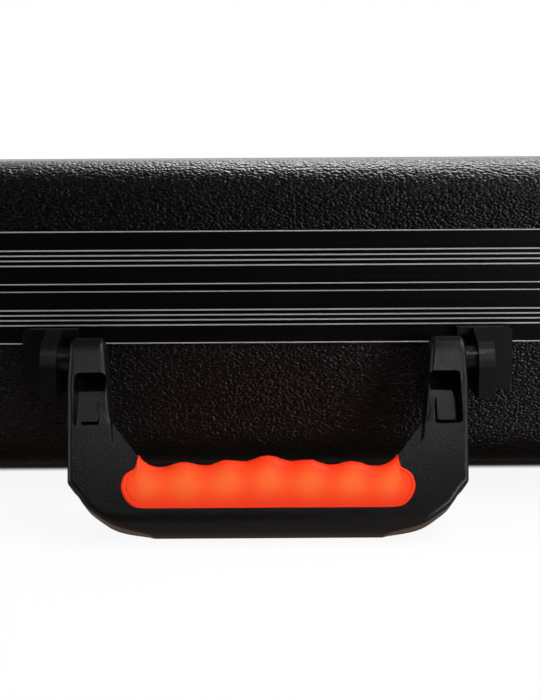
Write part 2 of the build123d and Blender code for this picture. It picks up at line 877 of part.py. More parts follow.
claw_pivot = Vector(lever_pivot_out - claw_pivot_in, lever_pivot_height - claw_pivot_drop)
swing = radians(latch_open_angle)
claw_offset = Vector(
    -claw_pivot_in * cos(swing) + claw_pivot_drop * sin(swing),
    -claw_pivot_in * sin(swing) - claw_pivot_drop * cos(swing),
)
claw_out = lever_pivot_out + claw_offset.X
claw_height = lever_pivot_height + claw_offset.Y
claw_angle = latch_open_angle * (1 - claw_follow)
claw_hook_rise = keeper_ledge_height + rest_gap - claw_pivot.Y


def cross_pin(x, out, height, half_width):
    """A latch pin lying along X."""
    with BuildSketch(side_plane(x, out, height)) as section:
        Circle(latch_pin_radius)
    extrude(section.sketch, amount=half_width, both=True)


for side, word in ((-1, "left"), (1, "right")):
    x = side * latch_half_span
    lever_side = side_plane(x, lever_pivot_out, lever_pivot_height, latch_open_angle)
    claw_side = side_plane(x, claw_out, claw_height, claw_angle)

    with BuildPart() as latch_plate:
        plate_top = base_frame_top - latch_plate_short
        plate_bottom = base_frame_bottom - latch_plate_lap
        with BuildSketch(front_plane(x, rib_proud, (plate_top + plate_bottom) / 2)):
            Rectangle(2 * latch_plate_half, plate_top - plate_bottom)
        extrude(amount=sheet)
        with BuildSketch(side_plane(x, rib_proud, lever_pivot_height)):
            with BuildLine():
                FilletPolyline(
                    (0, -cheek_root),
                    (lever_pivot_out + cheek_out, -cheek_nose),
                    (lever_pivot_out + cheek_out, cheek_nose),
                    (0, cheek_root),
                    radius=cheek_round,
                )
                Line((0, cheek_root), (0, -cheek_root))
            make_face()
        extrude(amount=latch_plate_half, both=True)
        with BuildSketch(side_plane(x, rib_proud + sheet, lever_pivot_height)):
            with Locations((cheek_cut / 2, 0)):
                Rectangle(cheek_cut, cheek_cut)
        extrude(amount=latch_plate_half - sheet, both=True, mode=Mode.SUBTRACT)
        with Locations(side_plane(x, lever_pivot_out, lever_pivot_height)):
            Cylinder(latch_pin_radius, 4 * latch_plate_half, mode=Mode.SUBTRACT)
        drill_rivets(latch_base_rivets, front_plane)
    save(latch_plate.part, f"latch_plate_{word}")

    with BuildPart() as latch_lever:
        with BuildSketch(lever_side):
            Circle(lever_eye_radius)
            with BuildLine():
                Polyline(
                    (-lever_eye_radius, 0),
                    (-lever_eye_radius, -claw_pivot_drop - lever_wall_drop),
                    (lever_face - lever_wall, -lever_length + lever_tip_back),
                    (lever_face + lever_tip_out - lever_tip_width, -lever_length - lever_tip_drop),
                    (lever_face + lever_tip_out, -lever_length - lever_tip_back),
                    (lever_face, -lever_length + lever_bend_rise),
                    (lever_face, -lever_window),
                    (lever_eye_radius, 0),
                    close=True,
                )
            make_face()
        extrude(amount=lever_half_width, both=True)
        with BuildSketch(lever_side):
            with BuildLine():
                Polyline(
                    (-lever_cut, lever_cut),
                    (lever_cut, lever_cut),
                    (lever_cut, -lever_window),
                    (lever_face - lever_wall, -lever_window),
                    (lever_face - lever_wall, -lever_length + lever_bend_rise),
                    (-lever_cut, -lever_length - lever_tip_back),
                    close=True,
                )
            make_face()
        extrude(amount=lever_half_width - lever_wall, both=True, mode=Mode.SUBTRACT)
        with Locations(lever_side):
            Cylinder(latch_pin_radius + run_gap, 4 * lever_half_width, mode=Mode.SUBTRACT)
        with Locations(side_plane(x, claw_out, claw_height)):
            Cylinder(latch_pin_radius, 4 * lever_half_width, mode=Mode.SUBTRACT)
        lock_seat = Plane(
            origin=lever_side.from_local_coords(Vector(lever_face, -cylinder_drop, 0)),
            x_dir=(1, 0, 0),
            z_dir=lever_side.x_dir,
        )
        with Locations(lock_seat):
            Cylinder(cylinder_radius + run_gap, 4 * lever_wall, mode=Mode.SUBTRACT)
    save(latch_lever.part, f"latch_lever_{word}")

    with BuildPart() as lock_cylinder:
        with BuildSketch(lock_seat.offset(run_gap)):
            Circle(cylinder_head_radius)
        extrude(amount=cylinder_head_height)
        with BuildSketch(lock_seat.offset(run_gap)):
            Circle(cylinder_radius)
        extrude(amount=-cylinder_length)
        with BuildSketch(lock_seat.offset(run_gap + cylinder_head_height)):
            Rectangle(keyway_width, keyway_length)
        extrude(amount=-keyway_depth, mode=Mode.SUBTRACT)
    save(lock_cylinder.part, f"lock_cylinder_{word}")

    with BuildPart() as latch_claw:
        strip_in = claw_strip_out - claw_thickness / 2
        strip_out = claw_strip_out + claw_thickness / 2
        with BuildSketch(claw_side):
            Circle(claw_eye_radius)
            with BuildLine():
                FilletPolyline(
                    (0, -claw_root_half),
                    (strip_out, -claw_root_half),
                    (strip_out, claw_hook_rise + claw_thickness),
                    (-hook_reach_in + strip_in, claw_hook_rise + claw_thickness),
                    (-hook_reach_in + strip_in, claw_hook_rise),
                    (strip_in, claw_hook_rise),
                    (strip_in, claw_root_half),
                    (0, claw_root_half),
                    radius=claw_bend_round,
                )
                Line((0, claw_root_half), (0, -claw_root_half))
            make_face()
        extrude(amount=claw_half_width, both=True)
        with Locations(claw_side):
            Cylinder(latch_pin_radius + run_gap, 4 * claw_half_width, mode=Mode.SUBTRACT)
    save(latch_claw.part, f"latch_claw_{word}")

    with BuildPart() as latch_pivot_pin:
        cross_pin(x, lever_pivot_out, lever_pivot_height, latch_plate_half)
    save(latch_pivot_pin.part, f"latch_pivot_pin_{word}")

    with BuildPart() as claw_pin:
        cross_pin(x, claw_out, claw_height, lever_half_width)
    save(claw_pin.part, f"claw_pin_{word}")

    with BuildPart() as keeper:
        plate_bottom = keeper_ledge_height - sheet
        with BuildSketch(front_plane(x, rib_proud, plate_bottom + keeper_plate_height / 2)):
            Rectangle(2 * keeper_half_width, keeper_plate_height)
        extrude(amount=sheet)
        with BuildSketch(front_plane(x, rib_proud, keeper_ledge_height - sheet / 2)):
            Rectangle(2 * keeper_half_width, sheet)
        extrude(amount=keeper_ledge_out - rib_proud)
        fillet(keeper.edges().filter_by(Axis.Y).sort_by(Axis.Z)[-2:], plate_corner)
        drill_rivets(keeper_rivets, front_plane)
    save(keeper.part, f"keeper_{word}")

with BuildPart() as latch_rivets_base:
    rivets(latch_base_rivets, front_plane, rib_proud + sheet)
save(latch_rivets_base.part, "latch_rivets_base")

with BuildPart() as latch_rivets_lid:
    rivets(keeper_rivets, front_plane, rib_proud + sheet)
save(latch_rivets_lid.part, "latch_rivets_lid")
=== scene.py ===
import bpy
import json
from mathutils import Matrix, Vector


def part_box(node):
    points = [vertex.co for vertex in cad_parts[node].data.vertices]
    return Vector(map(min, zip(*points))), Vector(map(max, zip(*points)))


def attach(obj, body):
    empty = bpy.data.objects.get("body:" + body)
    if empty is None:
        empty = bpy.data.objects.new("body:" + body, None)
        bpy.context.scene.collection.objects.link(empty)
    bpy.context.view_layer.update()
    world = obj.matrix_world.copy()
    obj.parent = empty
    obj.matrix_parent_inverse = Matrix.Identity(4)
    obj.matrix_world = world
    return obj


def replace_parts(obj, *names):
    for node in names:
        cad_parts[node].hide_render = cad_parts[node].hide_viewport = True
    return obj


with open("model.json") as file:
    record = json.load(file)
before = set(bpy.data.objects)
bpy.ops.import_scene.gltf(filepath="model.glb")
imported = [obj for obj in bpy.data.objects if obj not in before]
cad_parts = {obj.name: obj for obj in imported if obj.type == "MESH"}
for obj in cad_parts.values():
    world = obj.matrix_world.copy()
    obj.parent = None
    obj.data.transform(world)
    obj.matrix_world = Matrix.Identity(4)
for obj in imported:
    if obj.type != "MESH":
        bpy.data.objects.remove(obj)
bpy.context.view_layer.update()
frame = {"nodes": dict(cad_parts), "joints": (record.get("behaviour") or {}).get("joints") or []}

import json
from math import acos, cos, exp, pi, radians, sin, sqrt

import bmesh
import bpy
from bpy.props import FloatProperty, FloatVectorProperty, PointerProperty
from mathutils import Matrix, Vector
from mathutils.kdtree import KDTree

bl_info = {
    "name": "Pedalboard case",
    "version": (1, 0, 0),
    "blender": (4, 5, 0),
    "location": "3D View > Sidebar > Pedalboard case",
    "description": "Finishes and fine detail for a hard case with a ribbed frame and a soft grip",
    "category": "Object",
}

MM = 0.001

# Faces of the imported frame, in metres, for the fine detail
RIB_PROUD = 0.5 * MM
FRAME_LOW, FRAME_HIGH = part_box("base_frame")
FRONT = FRAME_LOW.y + RIB_PROUD
SIDE = FRAME_HIGH.x - RIB_PROUD
FRAME_HEIGHT = FRAME_HIGH.z - FRAME_LOW.z
FRAME_TOPS = {"base": FRAME_HIGH.z, "lid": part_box("lid_frame")[1].z}
CORNER = 30 * MM

# Edges that turn by more than this stay crisp
CREASE = radians(40)

# Ribs of the frame, and one's section: millimetres out and shares of half its width
RIB_COUNT = 4
RIB_PITCH = 1.93 * MM
RIB_SECTION = (
    (0.0, -1.0), (0.3, -1.0), (0.47, -0.8), (0.52, -0.45), (0.53, 0.0),
    (0.52, 0.45), (0.47, 0.8), (0.3, 1.0), (0.0, 1.0),
)

# Rolled lips of the frame, painted pale as bright lines: how far each is sunk and rooted, how proud
# it stands for its radius, and the share of that for the base's upper lip, whose line shows fainter
LIP_SINK = 0.1 * MM
LIP_ROOT = 0.6 * MM
LIP_PROUD = 0.75
LIP_FAINT = 0.8
LIP_STEPS = 6

# The grip seen square on, in millimetres: half widths from the middle, and drops from
# the pivot of the handle
BAR = 8.0
REACH = 67.5
HORN = 46.6
WIDEST = 52.0
GRIP_TOP = (
    (0, 38.4), (2.6, 38.7), (5.4, 39.7), (8.8, 40.4), (12.1, 40.2), (15.5, 40.1), (18.8, 41.1),
    (21.7, 41.9), (24.5, 41.8), (27.4, 41.1), (30.3, 40.8), (33.1, 41.2), (36.0, 42.2),
    (38.9, 42.6), (41.7, 42.0), (44.1, 40.7), (45.7, 39.2), (46.6, 37.9), (46.8, 40.2),
    (47.0, 43.2), (47.8, 44.1), (48.9, 44.7), (50.3, 45.8), (51.4, 47.4), (52.0, 50.2),
)
GRIP_FOOT = (
    (0, 58.9), (43.5, 58.9), (45.6, 58.6), (47.9, 57.6), (49.8, 55.8), (51.2, 53.6), (51.8, 51.9),
    (52.0, 50.3),
)

# Columns of points across half of the grip: wide ones, closer ones up to the horn, and the
# lobe. Then its rows, and how evenly they are spread
WIDE_STEP, WIDE_COUNT = 0.6, 75
CLOSE_STEP, CLOSE_COUNT = 0.19, 10
LOBE_COUNT = 26
GRIP_ROWS, ROWS_EVEN = 26, 0.4

# The grip's face, in millimetres: its front, the rolls at the fingers and at the rim, its
# fall to the top and the foot, its finger hollows and the moulded line by the rim
GRIP_FRONT = 10.2
GRIP_ROLL = 4.0
GRIP_LIP = 0.9
FALL_TOP = 2.6
FALL_FOOT, FALL_START = 8.0, 0.45
HOLLOW_LEAN, HOLLOW_MIDDLE = 1.6, 0.4
HOLLOW_DEPTH, HOLLOW_FADE = 1.1, 1.45
HOLLOW_MARGIN = 5.0
LINE_DEPTH, LINE_PLACE, LINE_HALF = 0.22, 1.5, 0.6
LINE_MARGIN = 4.0

# Painted highlight on the grip, a paler orange: its share everywhere and on the crests, across its
# height and at its ends
HIGHLIGHT_EVEN, HIGHLIGHT_CREST = 0.72, 0.28
HIGHLIGHT_MIDDLE, HIGHLIGHT_WIDTH = 0.5, 0.24
HIGHLIGHT_MARGIN = 8.0

# Rivets, in millimetres: body, way that they face, half span, step to each side and height
RIVETS = {
    "hinge_rivets_base": ("base", 1, 130, 20, 67.6),
    "hinge_rivets_lid": ("lid", 1, 130, 20, 102.8),
    "latch_rivets_base": ("base", -1, 165, 7, 67.1),
    "latch_rivets_lid": ("lid", -1, 165, 7, 103.3),
}

# A domed rivet's head: its height, and radii in millimetres with shares of that height
RIVET_HEIGHT = 1.0 * MM
RIVET_PROFILE = (
    (0.0, 0.5), (0.55, 0.5), (0.6, 0.85), (0.9, 1.0), (1.6, 0.92), (2.3, 0.7), (2.8, 0.35),
    (3.0, 0.1), (3.0, 0.0), (0.0, 0.0),
)

# Screw heads: radius and height, and the cross recess and the dome as shares of them
SCREW_HEAD = (3.6 * MM, 2.3 * MM)
BRACKET_SCREW_HEAD = (3.0 * MM, 1.2 * MM)
BRACKET_SCREW_STEP = 5.5 * MM
CROSS_WIDTH, CROSS_REACH, CROSS_DEPTH = 0.14, 0.62, 0.45
DOME_FALL = 0.75

# Feet and bumpers: places of their screws, then in millimetres the height, sole radius and
# seat radius of each kind, their bores, and the ring in the sole of a foot
FOOT_X, FOOT_Y, FOOT_SEAT = 203 * MM, 103 * MM, 6 * MM
BUMPER_X, BUMPER_SEAT = 180 * MM, 5 * MM
FOOT_SHAPE = (12.0, 13.0, 15.0)
BUMPER_SHAPE = (10.0, 6.5, 7.5)
HEAD_BORE, SHANK_BORE = 3.9, 2.1
SOLE_RING = ((10.0, 0.0), (9.6, 0.7), (7.2, 0.7), (6.8, 0.0))
RUBBER_STEPS = 56

# Foam: the side band's thickness, cut corners and point spacing, how a backing plate presses
# it (shift, share of thickness left, margin), and the pads
BAND_THICK, BAND_CUT, BAND_STEP = 6 * MM, 1.5 * MM, 4 * MM
PRESS_SHIFT, PRESS_SHARE, PRESS_MARGIN = 4.2 * MM, 0.3, 3 * MM
FLOOR_WAVE, FLOOR_PITCH = 0.5 * MM, 70 * MM
PAD_CORNER, PAD_ROLL, PAD_ROLL_WIDTH = 12 * MM, 1.6 * MM, 2.5 * MM
PAD_COLUMNS, PAD_ROWS = 170, 100
PAD_EASE = 0.35

# Glowing cards round the case, which paint the dark and brownish reflections in its glossy black
# surfaces: half width, first edge and second edge (each a depth and a height, in metres) and shade
REFLECTION_CARDS = (
    (0.24, (0.14, 0.0016), (-0.05, 0.0016), "#ccb8b0"),
    (0.24, (-0.05, 0.0016), (-0.165, 0.0016), "#3f3835"),
    (0.35, (-0.165, 0.0016), (-0.26, 0.0016), "#8b7c73"),
    (2.6, (1.9, 0.001), (-1.5, 0.001), "#1a1818"),
    (2.6, (-1.5, 0.001), (-1.9, 0.5), "#191919"),
    (2.6, (-1.9, 0.5), (-1.9, 1.4), "#1c1c1c"),
    (2.6, (-1.9, 1.4), (-1.4, 2.2), "#262626"),
    (2.6, (-1.4, 2.2), (-0.2, 2.6), "#3f3f3f"),
    (2.6, (-0.2, 2.6), (1.1, 2.3), "#595959"),
)

# Soft lamps: place, aim and size in metres, power in watts, spread in degrees, and the kind
# of ray that each leaves out, so that light and reflections are set apart
LAMPS = {
    "key_lamp": ((0.5, 0.0, 0.9), (0.0, -0.12, 0.06), (0.9, 0.6), 9.0, 180, "glossy"),
    "front_lamp": ((0.45, -1.0, 0.95), (0.0, -0.15, 0.05), (1.2, 0.6), 7.0, 180, "glossy"),
    "top_lamp": ((0.35, 0.3, 0.9), (0.0, -0.15, 0.05), (1.2, 0.24), 12.0, 180, "diffuse"),
    "high_lamp": ((0.1, -0.74, 0.74), (0.0, -0.162, 0.068), (0.6, 0.09), 0.02, 7, "diffuse"),
    "side_lamp": ((1.1, -1.35, 0.2), (0.1, -0.15, 0.08), (0.7, 0.5), 8.0, 180, "diffuse"),
}

# The floor: half its width, the strip under the case's edge where its glow starts, and the
# distances from the case between which it turns quite white
FLOOR_REACH = 6.0
GLOW_START, GLOW_FULL = -52 * MM, -44 * MM
WHITE_START, WHITE_FULL = 0.15, 0.9
SENSOR_WIDTH = 36

# A colour mix numbers its sockets: factor, first colour and second colour, and its result
FACTOR, FIRST, SECOND, MIXED = 0, 6, 7, 2


def linear(hex_colour):
    """A linear colour from an sRGB hex value."""
    parts = [int(hex_colour[i:i + 2], 16) / 255 for i in (1, 3, 5)]
    return tuple(c / 12.92 if c <= 0.04045 else ((c + 0.055) / 1.055) ** 2.4 for c in parts)


def shade(colour, factor=1.0):
    """A colour made darker or paler, with its alpha."""
    return (*(factor * part for part in colour), 1)


def set_inputs(tree, node, inputs):
    """Sets a node's inputs to values, or links them from sockets or nodes' first outputs."""
    for key, value in inputs.items():
        if isinstance(value, bpy.types.Node):
            value = value.outputs[0]
        if isinstance(value, bpy.types.NodeSocket):
            tree.links.new(value, node.inputs[key])
        else:
            node.inputs[key].default_value = value


def add_node(tree, kind, inputs=None, **settings):
    """Adds a shader node with its settings and inputs."""
    made = tree.nodes.new("ShaderNode" + kind)
    for name, value in settings.items():
        setattr(made, name, value)
    set_inputs(tree, made, inputs or {})
    return made


def bare_tree(owner):
    """The emptied node tree of a material or a world."""
    owner.use_nodes = True
    owner.node_tree.nodes.clear()
    return owner.node_tree


def new_material(name):
    """A bare material with its tree, its surface shader and the place on the object."""
    material = bpy.data.materials.new(name)
    tree = bare_tree(material)
    shader = add_node(tree, "BsdfPrincipled")
    add_node(tree, "OutputMaterial", {"Surface": shader})
    place = add_node(tree, "TexCoord").outputs["Object"]
    return material, tree, shader, place


def set_surface(tree, shader, tones, gloss, values):
    """Sets a shader: two tones and the roughness, each spread by a pattern, and other values."""
    mixed = add_node(tree, "Mix", dict(zip((FACTOR, FIRST, SECOND), tones)), data_type="RGBA")
    rough = add_node(tree, "MapRange", dict(zip(("Value", "To Min", "To Max"), gloss)))
    base = {"Base Color": mixed.outputs[MIXED], "Roughness": rough}
    set_inputs(tree, shader, {**base, **values})


def leather_grain_abs(finish):
    # ABS sheet formed over a tool with a leather grain: black, and softly glossy on
    # rounded cells about 1.5 mm wide that catch the light one by one
    material, tree, shader, place = new_material("Leather grain ABS, formed")
    cell = finish.grain_cell
    # The cells are a little lower than wide
    flat = add_node(tree, "VectorMath", {0: place, 1: (1.0, 1.0, 1.5)}, operation="MULTIPLY")
    drift = add_node(tree, "TexNoise", {"Vector": flat, "Scale": 0.9 / cell, "Detail": 2.0})
    warped = add_node(
        tree, "VectorMath", {0: drift.outputs["Color"], 1: (0.8 * cell,) * 3, 2: flat},
        operation="MULTIPLY_ADD",
    )
    cells = add_node(tree, "TexVoronoi", {"Vector": warped, "Scale": 1 / cell, "Randomness": 0.9})
    domes = add_node(tree, "Math", {0: cells, 1: cells}, operation="MULTIPLY")
    pores = add_node(tree, "TexNoise", {"Vector": place, "Scale": 1.2 / cell, "Detail": 1.0})
    shallow = add_node(tree, "Math", {0: pores, 1: 0.35}, operation="MULTIPLY")
    height = add_node(tree, "Math", {0: domes, 1: -1.0, 2: shallow}, operation="MULTIPLY_ADD")
    bump = add_node(tree, "Bump", {"Height": height, "Distance": 4 * finish.grain_depth})
    wear = add_node(tree, "TexNoise", {"Vector": place, "Scale": 1 / (71.4 * MM), "Detail": 4.0})
    tones = (wear, shade(finish.shell_colour), shade(finish.shell_colour, 1.6))
    values = {"Specular IOR Level": 0.35, "IOR": 1.53, "Normal": bump}
    set_surface(tree, shader, tones, (cells, 0.22, 0.36), values)
    return material


def anodised_aluminium(finish):
    # Aluminium extruded and black anodised: satin, with faint lines from the die about
    # 0.6 mm apart along the frame, and a thin upright seam behind where its bent ends meet
    material, tree, shader, place = new_material("Aluminium extrusion, black anodised")
    along, up = 1 / (83.3 * MM), 1 / (0.588 * MM)
    drawn = add_node(tree, "VectorMath", {0: place, 1: (along, along, up)}, operation="MULTIPLY")
    lines = add_node(tree, "TexNoise", {"Vector": drawn, "Scale": 1.0, "Detail": 3.0})
    cloud = add_node(tree, "TexNoise", {"Vector": place, "Scale": 1 / (45.5 * MM), "Detail": 3.0})
    at = add_node(tree, "SeparateXYZ", {0: place}).outputs
    middle = add_node(tree, "Math", {0: at["X"], 1: 0.0, 2: 0.2 * MM}, operation="COMPARE")
    behind = add_node(tree, "Math", {0: at["Y"], 1: 0.0}, operation="GREATER_THAN")
    seam = add_node(tree, "Math", {0: middle, 1: behind}, operation="MULTIPLY")
    # The seam is four times as deep as a line of the die
    height = add_node(tree, "Math", {0: seam, 1: -4.0, 2: lines}, operation="MULTIPLY_ADD")
    bump = add_node(tree, "Bump", {"Height": height, "Strength": 0.25, "Distance": 0.05 * MM})
    colour = finish.anodised_colour
    tones = (cloud, shade(colour), shade(colour, 1.5))
    values = {"Metallic": 0.6, "Normal": bump}
    set_surface(tree, shader, tones, (lines, 0.2, 0.5), values)
    return material


def highlight_aluminium(finish):
    # Aluminium ribs and rolled lips, grey satin, painted pale as a highlight for the light that
    # their
    # rounded tops catch: lines drawn out along the frame, a little uneven in tone
    material, tree, shader, place = new_material("Aluminium rib and lip, painted highlight")
    along, up = 1 / (33.3 * MM), 1 / (0.2857 * MM)
    drawn = add_node(tree, "VectorMath", {0: place, 1: (along, along, up)}, operation="MULTIPLY")
    lines = add_node(tree, "TexNoise", {"Vector": drawn, "Scale": 1.0, "Detail": 3.0})
    tones = (lines, shade(finish.rib_highlight_colour, 0.7), shade(finish.rib_highlight_colour))
    set_surface(tree, shader, tones, (lines, 0.34, 0.5), {"Metallic": 0.45})
    return material


def moulded_polymer(name, colour, grain, depth, roughness):
    """A moulded polymer with the fine stipple of a spark-eroded mould."""
    material, tree, shader, place = new_material(name)
    stipple = add_node(tree, "TexNoise", {"Vector": place, "Scale": 1 / grain, "Detail": 2.0})
    cloud = add_node(tree, "TexNoise", {"Vector": place, "Scale": 1 / (33.3 * MM), "Detail": 3.0})
    bump = add_node(tree, "Bump", {"Height": stipple, "Strength": 0.6, "Distance": depth})
    tones = (cloud, shade(colour), shade(colour, 1.35))
    gloss = (stipple, roughness - 0.08, roughness + 0.1)
    set_surface(tree, shader, tones, gloss, {"IOR": 1.53, "Normal": bump})
    return material


def plated_metal(name, colour, roughness):
    """Plated or bare metal hardware: grey and satin, with a slight orange peel."""
    material, tree, shader, place = new_material(name)
    peel = add_node(tree, "TexNoise", {"Vector": place, "Scale": 1 / (1.43 * MM), "Detail": 2.0})
    cloud = add_node(tree, "TexNoise", {"Vector": place, "Scale": 1 / (11.1 * MM), "Detail": 4.0})
    bump = add_node(tree, "Bump", {"Height": peel, "Strength": 0.15, "Distance": 0.1 * MM})
    tones = (cloud, shade(colour, 0.8), shade(colour))
    gloss = (cloud, roughness - 0.07, roughness + 0.1)
    # Not wholly metallic, or the stage's dark cards would turn it black
    set_surface(tree, shader, tones, gloss, {"Metallic": 0.7, "Normal": bump})
    return material


def cell_foam(finish):
    # Polyurethane foam, cut with a hot wire: charcoal and quite matt, with open cells.
    # Real cells are about 0.6 mm; they are drawn at 1.6 mm so that they show
    material, tree, shader, place = new_material("Polyurethane foam, cut")
    cells = add_node(tree, "TexVoronoi", {"Vector": place, "Scale": 1 / (1.6 * MM)})
    bump = add_node(tree, "Bump", {"Height": cells, "Strength": 0.9, "Distance": 0.7 * MM})
    # The cells' hollows are painted darker: a painted shade
    shaded_pit, wall = shade(finish.foam_colour, 0.5), shade(finish.foam_colour)
    tones = {FACTOR: cells, FIRST: shaded_pit, SECOND: wall}
    colour = add_node(tree, "Mix", tones, data_type="RGBA")
    set_inputs(tree, shader, {
        "Base Color": colour.outputs[MIXED],
        "Roughness": 0.95,
        "Specular IOR Level": 0.2,
        "Sheen Weight": 0.25,
        "Sheen Roughness": 0.6,
        "Normal": bump,
    })
    return material


def soft_grip(finish):
    # Thermoplastic elastomer moulded over the bar: saturated orange and satin. A little
    # light passes into it, and skin oils leave its gloss slightly uneven
    material, tree, shader, place = new_material("Thermoplastic elastomer, moulded")
    skin = add_node(tree, "TexNoise", {"Vector": place, "Scale": 1 / (0.9 * MM), "Detail": 2.0})
    cloud = add_node(tree, "TexNoise", {"Vector": place, "Scale": 1 / (22.2 * MM), "Detail": 3.0})
    bump = add_node(tree, "Bump", {"Height": skin, "Strength": 0.35, "Distance": 0.08 * MM})
    # A paler orange painted mid-height on the grip's crests: a painted highlight, mixed with a
    # faint random tone
    painted_highlight = add_node(tree, "Attribute", attribute_name="painted_highlight").outputs["Fac"]
    tone_and_highlight = add_node(tree, "Math", {0: cloud, 1: 0.3, 2: painted_highlight}, operation="MULTIPLY_ADD")
    tones = (tone_and_highlight, shade(finish.grip_colour), shade(finish.highlight_colour))
    set_surface(tree, shader, tones, (cloud, 0.42, 0.56), {
        "IOR": 1.5,
        "Specular IOR Level": 0.2,
        "Subsurface Weight": 0.05,
        "Subsurface Radius": (1.0, 0.25, 0.1),
        "Subsurface Scale": 1.2 * MM,
        "Normal": bump,
    })
    return material


def give(material, *nodes):
    """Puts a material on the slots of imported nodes."""
    for name in nodes:
        piece = frame["nodes"][name]
        if not piece.material_slots:
            piece.data.materials.append(material)
        for slot in piece.material_slots:
            slot.material = material


def make_object(name, vertices, faces, material):
    """A mesh object in the scene, with its material."""
    mesh = bpy.data.meshes.new(name)
    mesh.from_pydata(vertices, [], faces)
    mesh.materials.append(material)
    made = bpy.data.objects.new(name, mesh)
    bpy.context.scene.collection.objects.link(made)
    return made


def make_piece(name, vertices, faces, material, body, slot):
    """A smooth mesh piece that rides on a body."""
    piece = make_object(name, vertices, faces, material)
    piece.data.polygons.foreach_set("use_smooth", [True] * len(faces))
    piece.data.validate()
    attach(piece, body)
    return piece


def turn_outside_out(piece):
    """Points all faces of a closed piece outwards, and keeps sharp edges crisp."""
    shape = bmesh.new()
    shape.from_mesh(piece.data)
    bmesh.ops.recalc_face_normals(shape, faces=shape.faces)
    for edge in shape.edges:
        edge.smooth = edge.calc_face_angle(0) < CREASE
    shape.to_mesh(piece.data)
    shape.free()
    return piece


def case_outline(inset, corner_steps=14):
    """Points and outward directions round the case, the given distance inside its frame."""
    radius = CORNER - inset
    path = []
    for quarter, (sx, sy) in enumerate(((1, 1), (-1, 1), (-1, -1), (1, -1))):
        centre = Vector((sx * (SIDE - CORNER), sy * (-FRONT - CORNER)))
        for step in range(corner_steps + 1):
            angle = pi / 2 * (quarter + step / corner_steps)
            out = Vector((cos(angle), sin(angle)))
            path.append((centre + radius * out, out))
    return path


def neighbours(count):
    """Each number of a closed row, with the next."""
    return [(i, (i + 1) % count) for i in range(count)]


def loop_faces(count, size):
    """Faces between neighbouring sections of some size, all the way round a closed path."""
    return [
        (i * size + k, j * size + k, j * size + m, i * size + m)
        for i, j in neighbours(count) for k, m in neighbours(size)
    ]


def sweep(path, section):
    """A section, given as distances out and up, carried along a closed path."""
    vertices = [(*(point + out * across), up) for point, out in path for across, up in section]
    return vertices, loop_faces(len(path), len(section))


def merge(parts):
    """Joins lists of vertices and faces into one."""
    vertices, faces = [], []
    for points, polygons in parts:
        faces += [tuple(len(vertices) + i for i in polygon) for polygon in polygons]
        vertices += points
    return vertices, faces


def lathe(profile, place, steps=40):
    """A closed profile of radii and heights turned about the z axis of a place."""
    turns = [2 * pi * i / steps for i in range(steps)]
    points = [(r * cos(turn), r * sin(turn), z) for turn in turns for r, z in profile]
    vertices = [tuple(place @ Vector(point)) for point in points]
    return vertices, loop_faces(steps, len(profile))


def head_with_cross(place, radius, height, steps=48, rings=9):
    """A domed screw head with a cross recess, standing on the place's plane."""
    def point(r, angle, z):
        return tuple(place @ Vector((r * cos(angle), r * sin(angle), z)))

    def level(r, angle):
        dome = height * sqrt(max(0.0, 1 - DOME_FALL * (r / radius) ** 2))
        across = min(abs(r * cos(angle)), abs(r * sin(angle)))
        recessed = across < CROSS_WIDTH * radius and r < CROSS_REACH * radius
        return dome - CROSS_DEPTH * height if recessed else dome

    turns = [2 * pi * i / steps for i in range(steps)]
    vertices = [point(0, 0, level(0, 0))]
    for ring in range(1, rings + 1):
        r = radius * ring / rings
        vertices += [point(r, angle, level(r, angle)) for angle in turns]
    vertices += [point(radius, angle, 0) for angle in turns]
    faces = [(0, 1 + i, 1 + j) for i, j in neighbours(steps)]
    for low in range(1, 1 + rings * steps, steps):
        high = low + steps
        faces += [(low + i, high + i, high + j, low + j) for i, j in neighbours(steps)]
    faces.append(tuple(1 + rings * steps + i for i in range(steps)))
    return vertices, faces


def facing(point, direction):
    """A place at a point, with its z axis along a direction."""
    turn = Vector(direction).to_track_quat("Z", "X").to_matrix()
    return Matrix.Translation(point) @ turn.to_4x4()


def through_points(points, x):
    """A smooth curve through points of rising x, level where the points turn back."""
    if x <= points[0][0]:
        return points[0][1]
    for k in range(len(points) - 1):
        if x <= points[k + 1][0]:
            break
    else:
        return points[-1][1]
    slopes = [(b[1] - a[1]) / (b[0] - a[0]) for a, b in zip(points, points[1:])]

    def lean(i):
        if i in (0, len(points) - 1):
            return slopes[min(i, len(slopes) - 1)]
        before, after = slopes[i - 1], slopes[i]
        return 0.0 if before * after <= 0 else 2 * before * after / (before + after)

    (x0, y0), (x1, y1) = points[k], points[k + 1]
    t, span = (x - x0) / (x1 - x0), x1 - x0
    return (
        (1 + 2 * t) * (1 - t) ** 2 * y0
        + t * (1 - t) ** 2 * span * lean(k)
        + t * t * (3 - 2 * t) * y1
        + t * t * (t - 1) * span * lean(k + 1)
    )


def fine(values, parts=4):
    """Values with others evenly between them."""
    between = [a + (b - a) * k / parts for a, b in zip(values, values[1:]) for k in range(parts)]
    return between + [values[-1]]


def nearest(points):
    """A measure of the distance from a place to the nearest of some points."""
    tree = KDTree(len(points))
    for i, (x, y) in enumerate(points):
        tree.insert((x, y, 0), i)
    tree.balance()
    return lambda x, y: tree.find((x, y, 0))[2]


def rolled(radius, distance):
    """How far a rounded edge of some radius falls, at a distance in from it."""
    return radius - sqrt(radius ** 2 - max(0.0, radius - distance) ** 2)


def join_edges(faces, columns, rows, offset):
    """Closes two like grids of points, one behind the other, along their edges."""
    edge = [i * rows for i in range(columns)]
    edge += [(columns - 1) * rows + j for j in range(1, rows)]
    edge += [i * rows + rows - 1 for i in range(columns - 2, -1, -1)]
    edge += [j for j in range(rows - 2, 0, -1)]
    for a, b in zip(edge, edge[1:] + edge[:1]):
        faces.append((a, a + offset, b + offset, b))


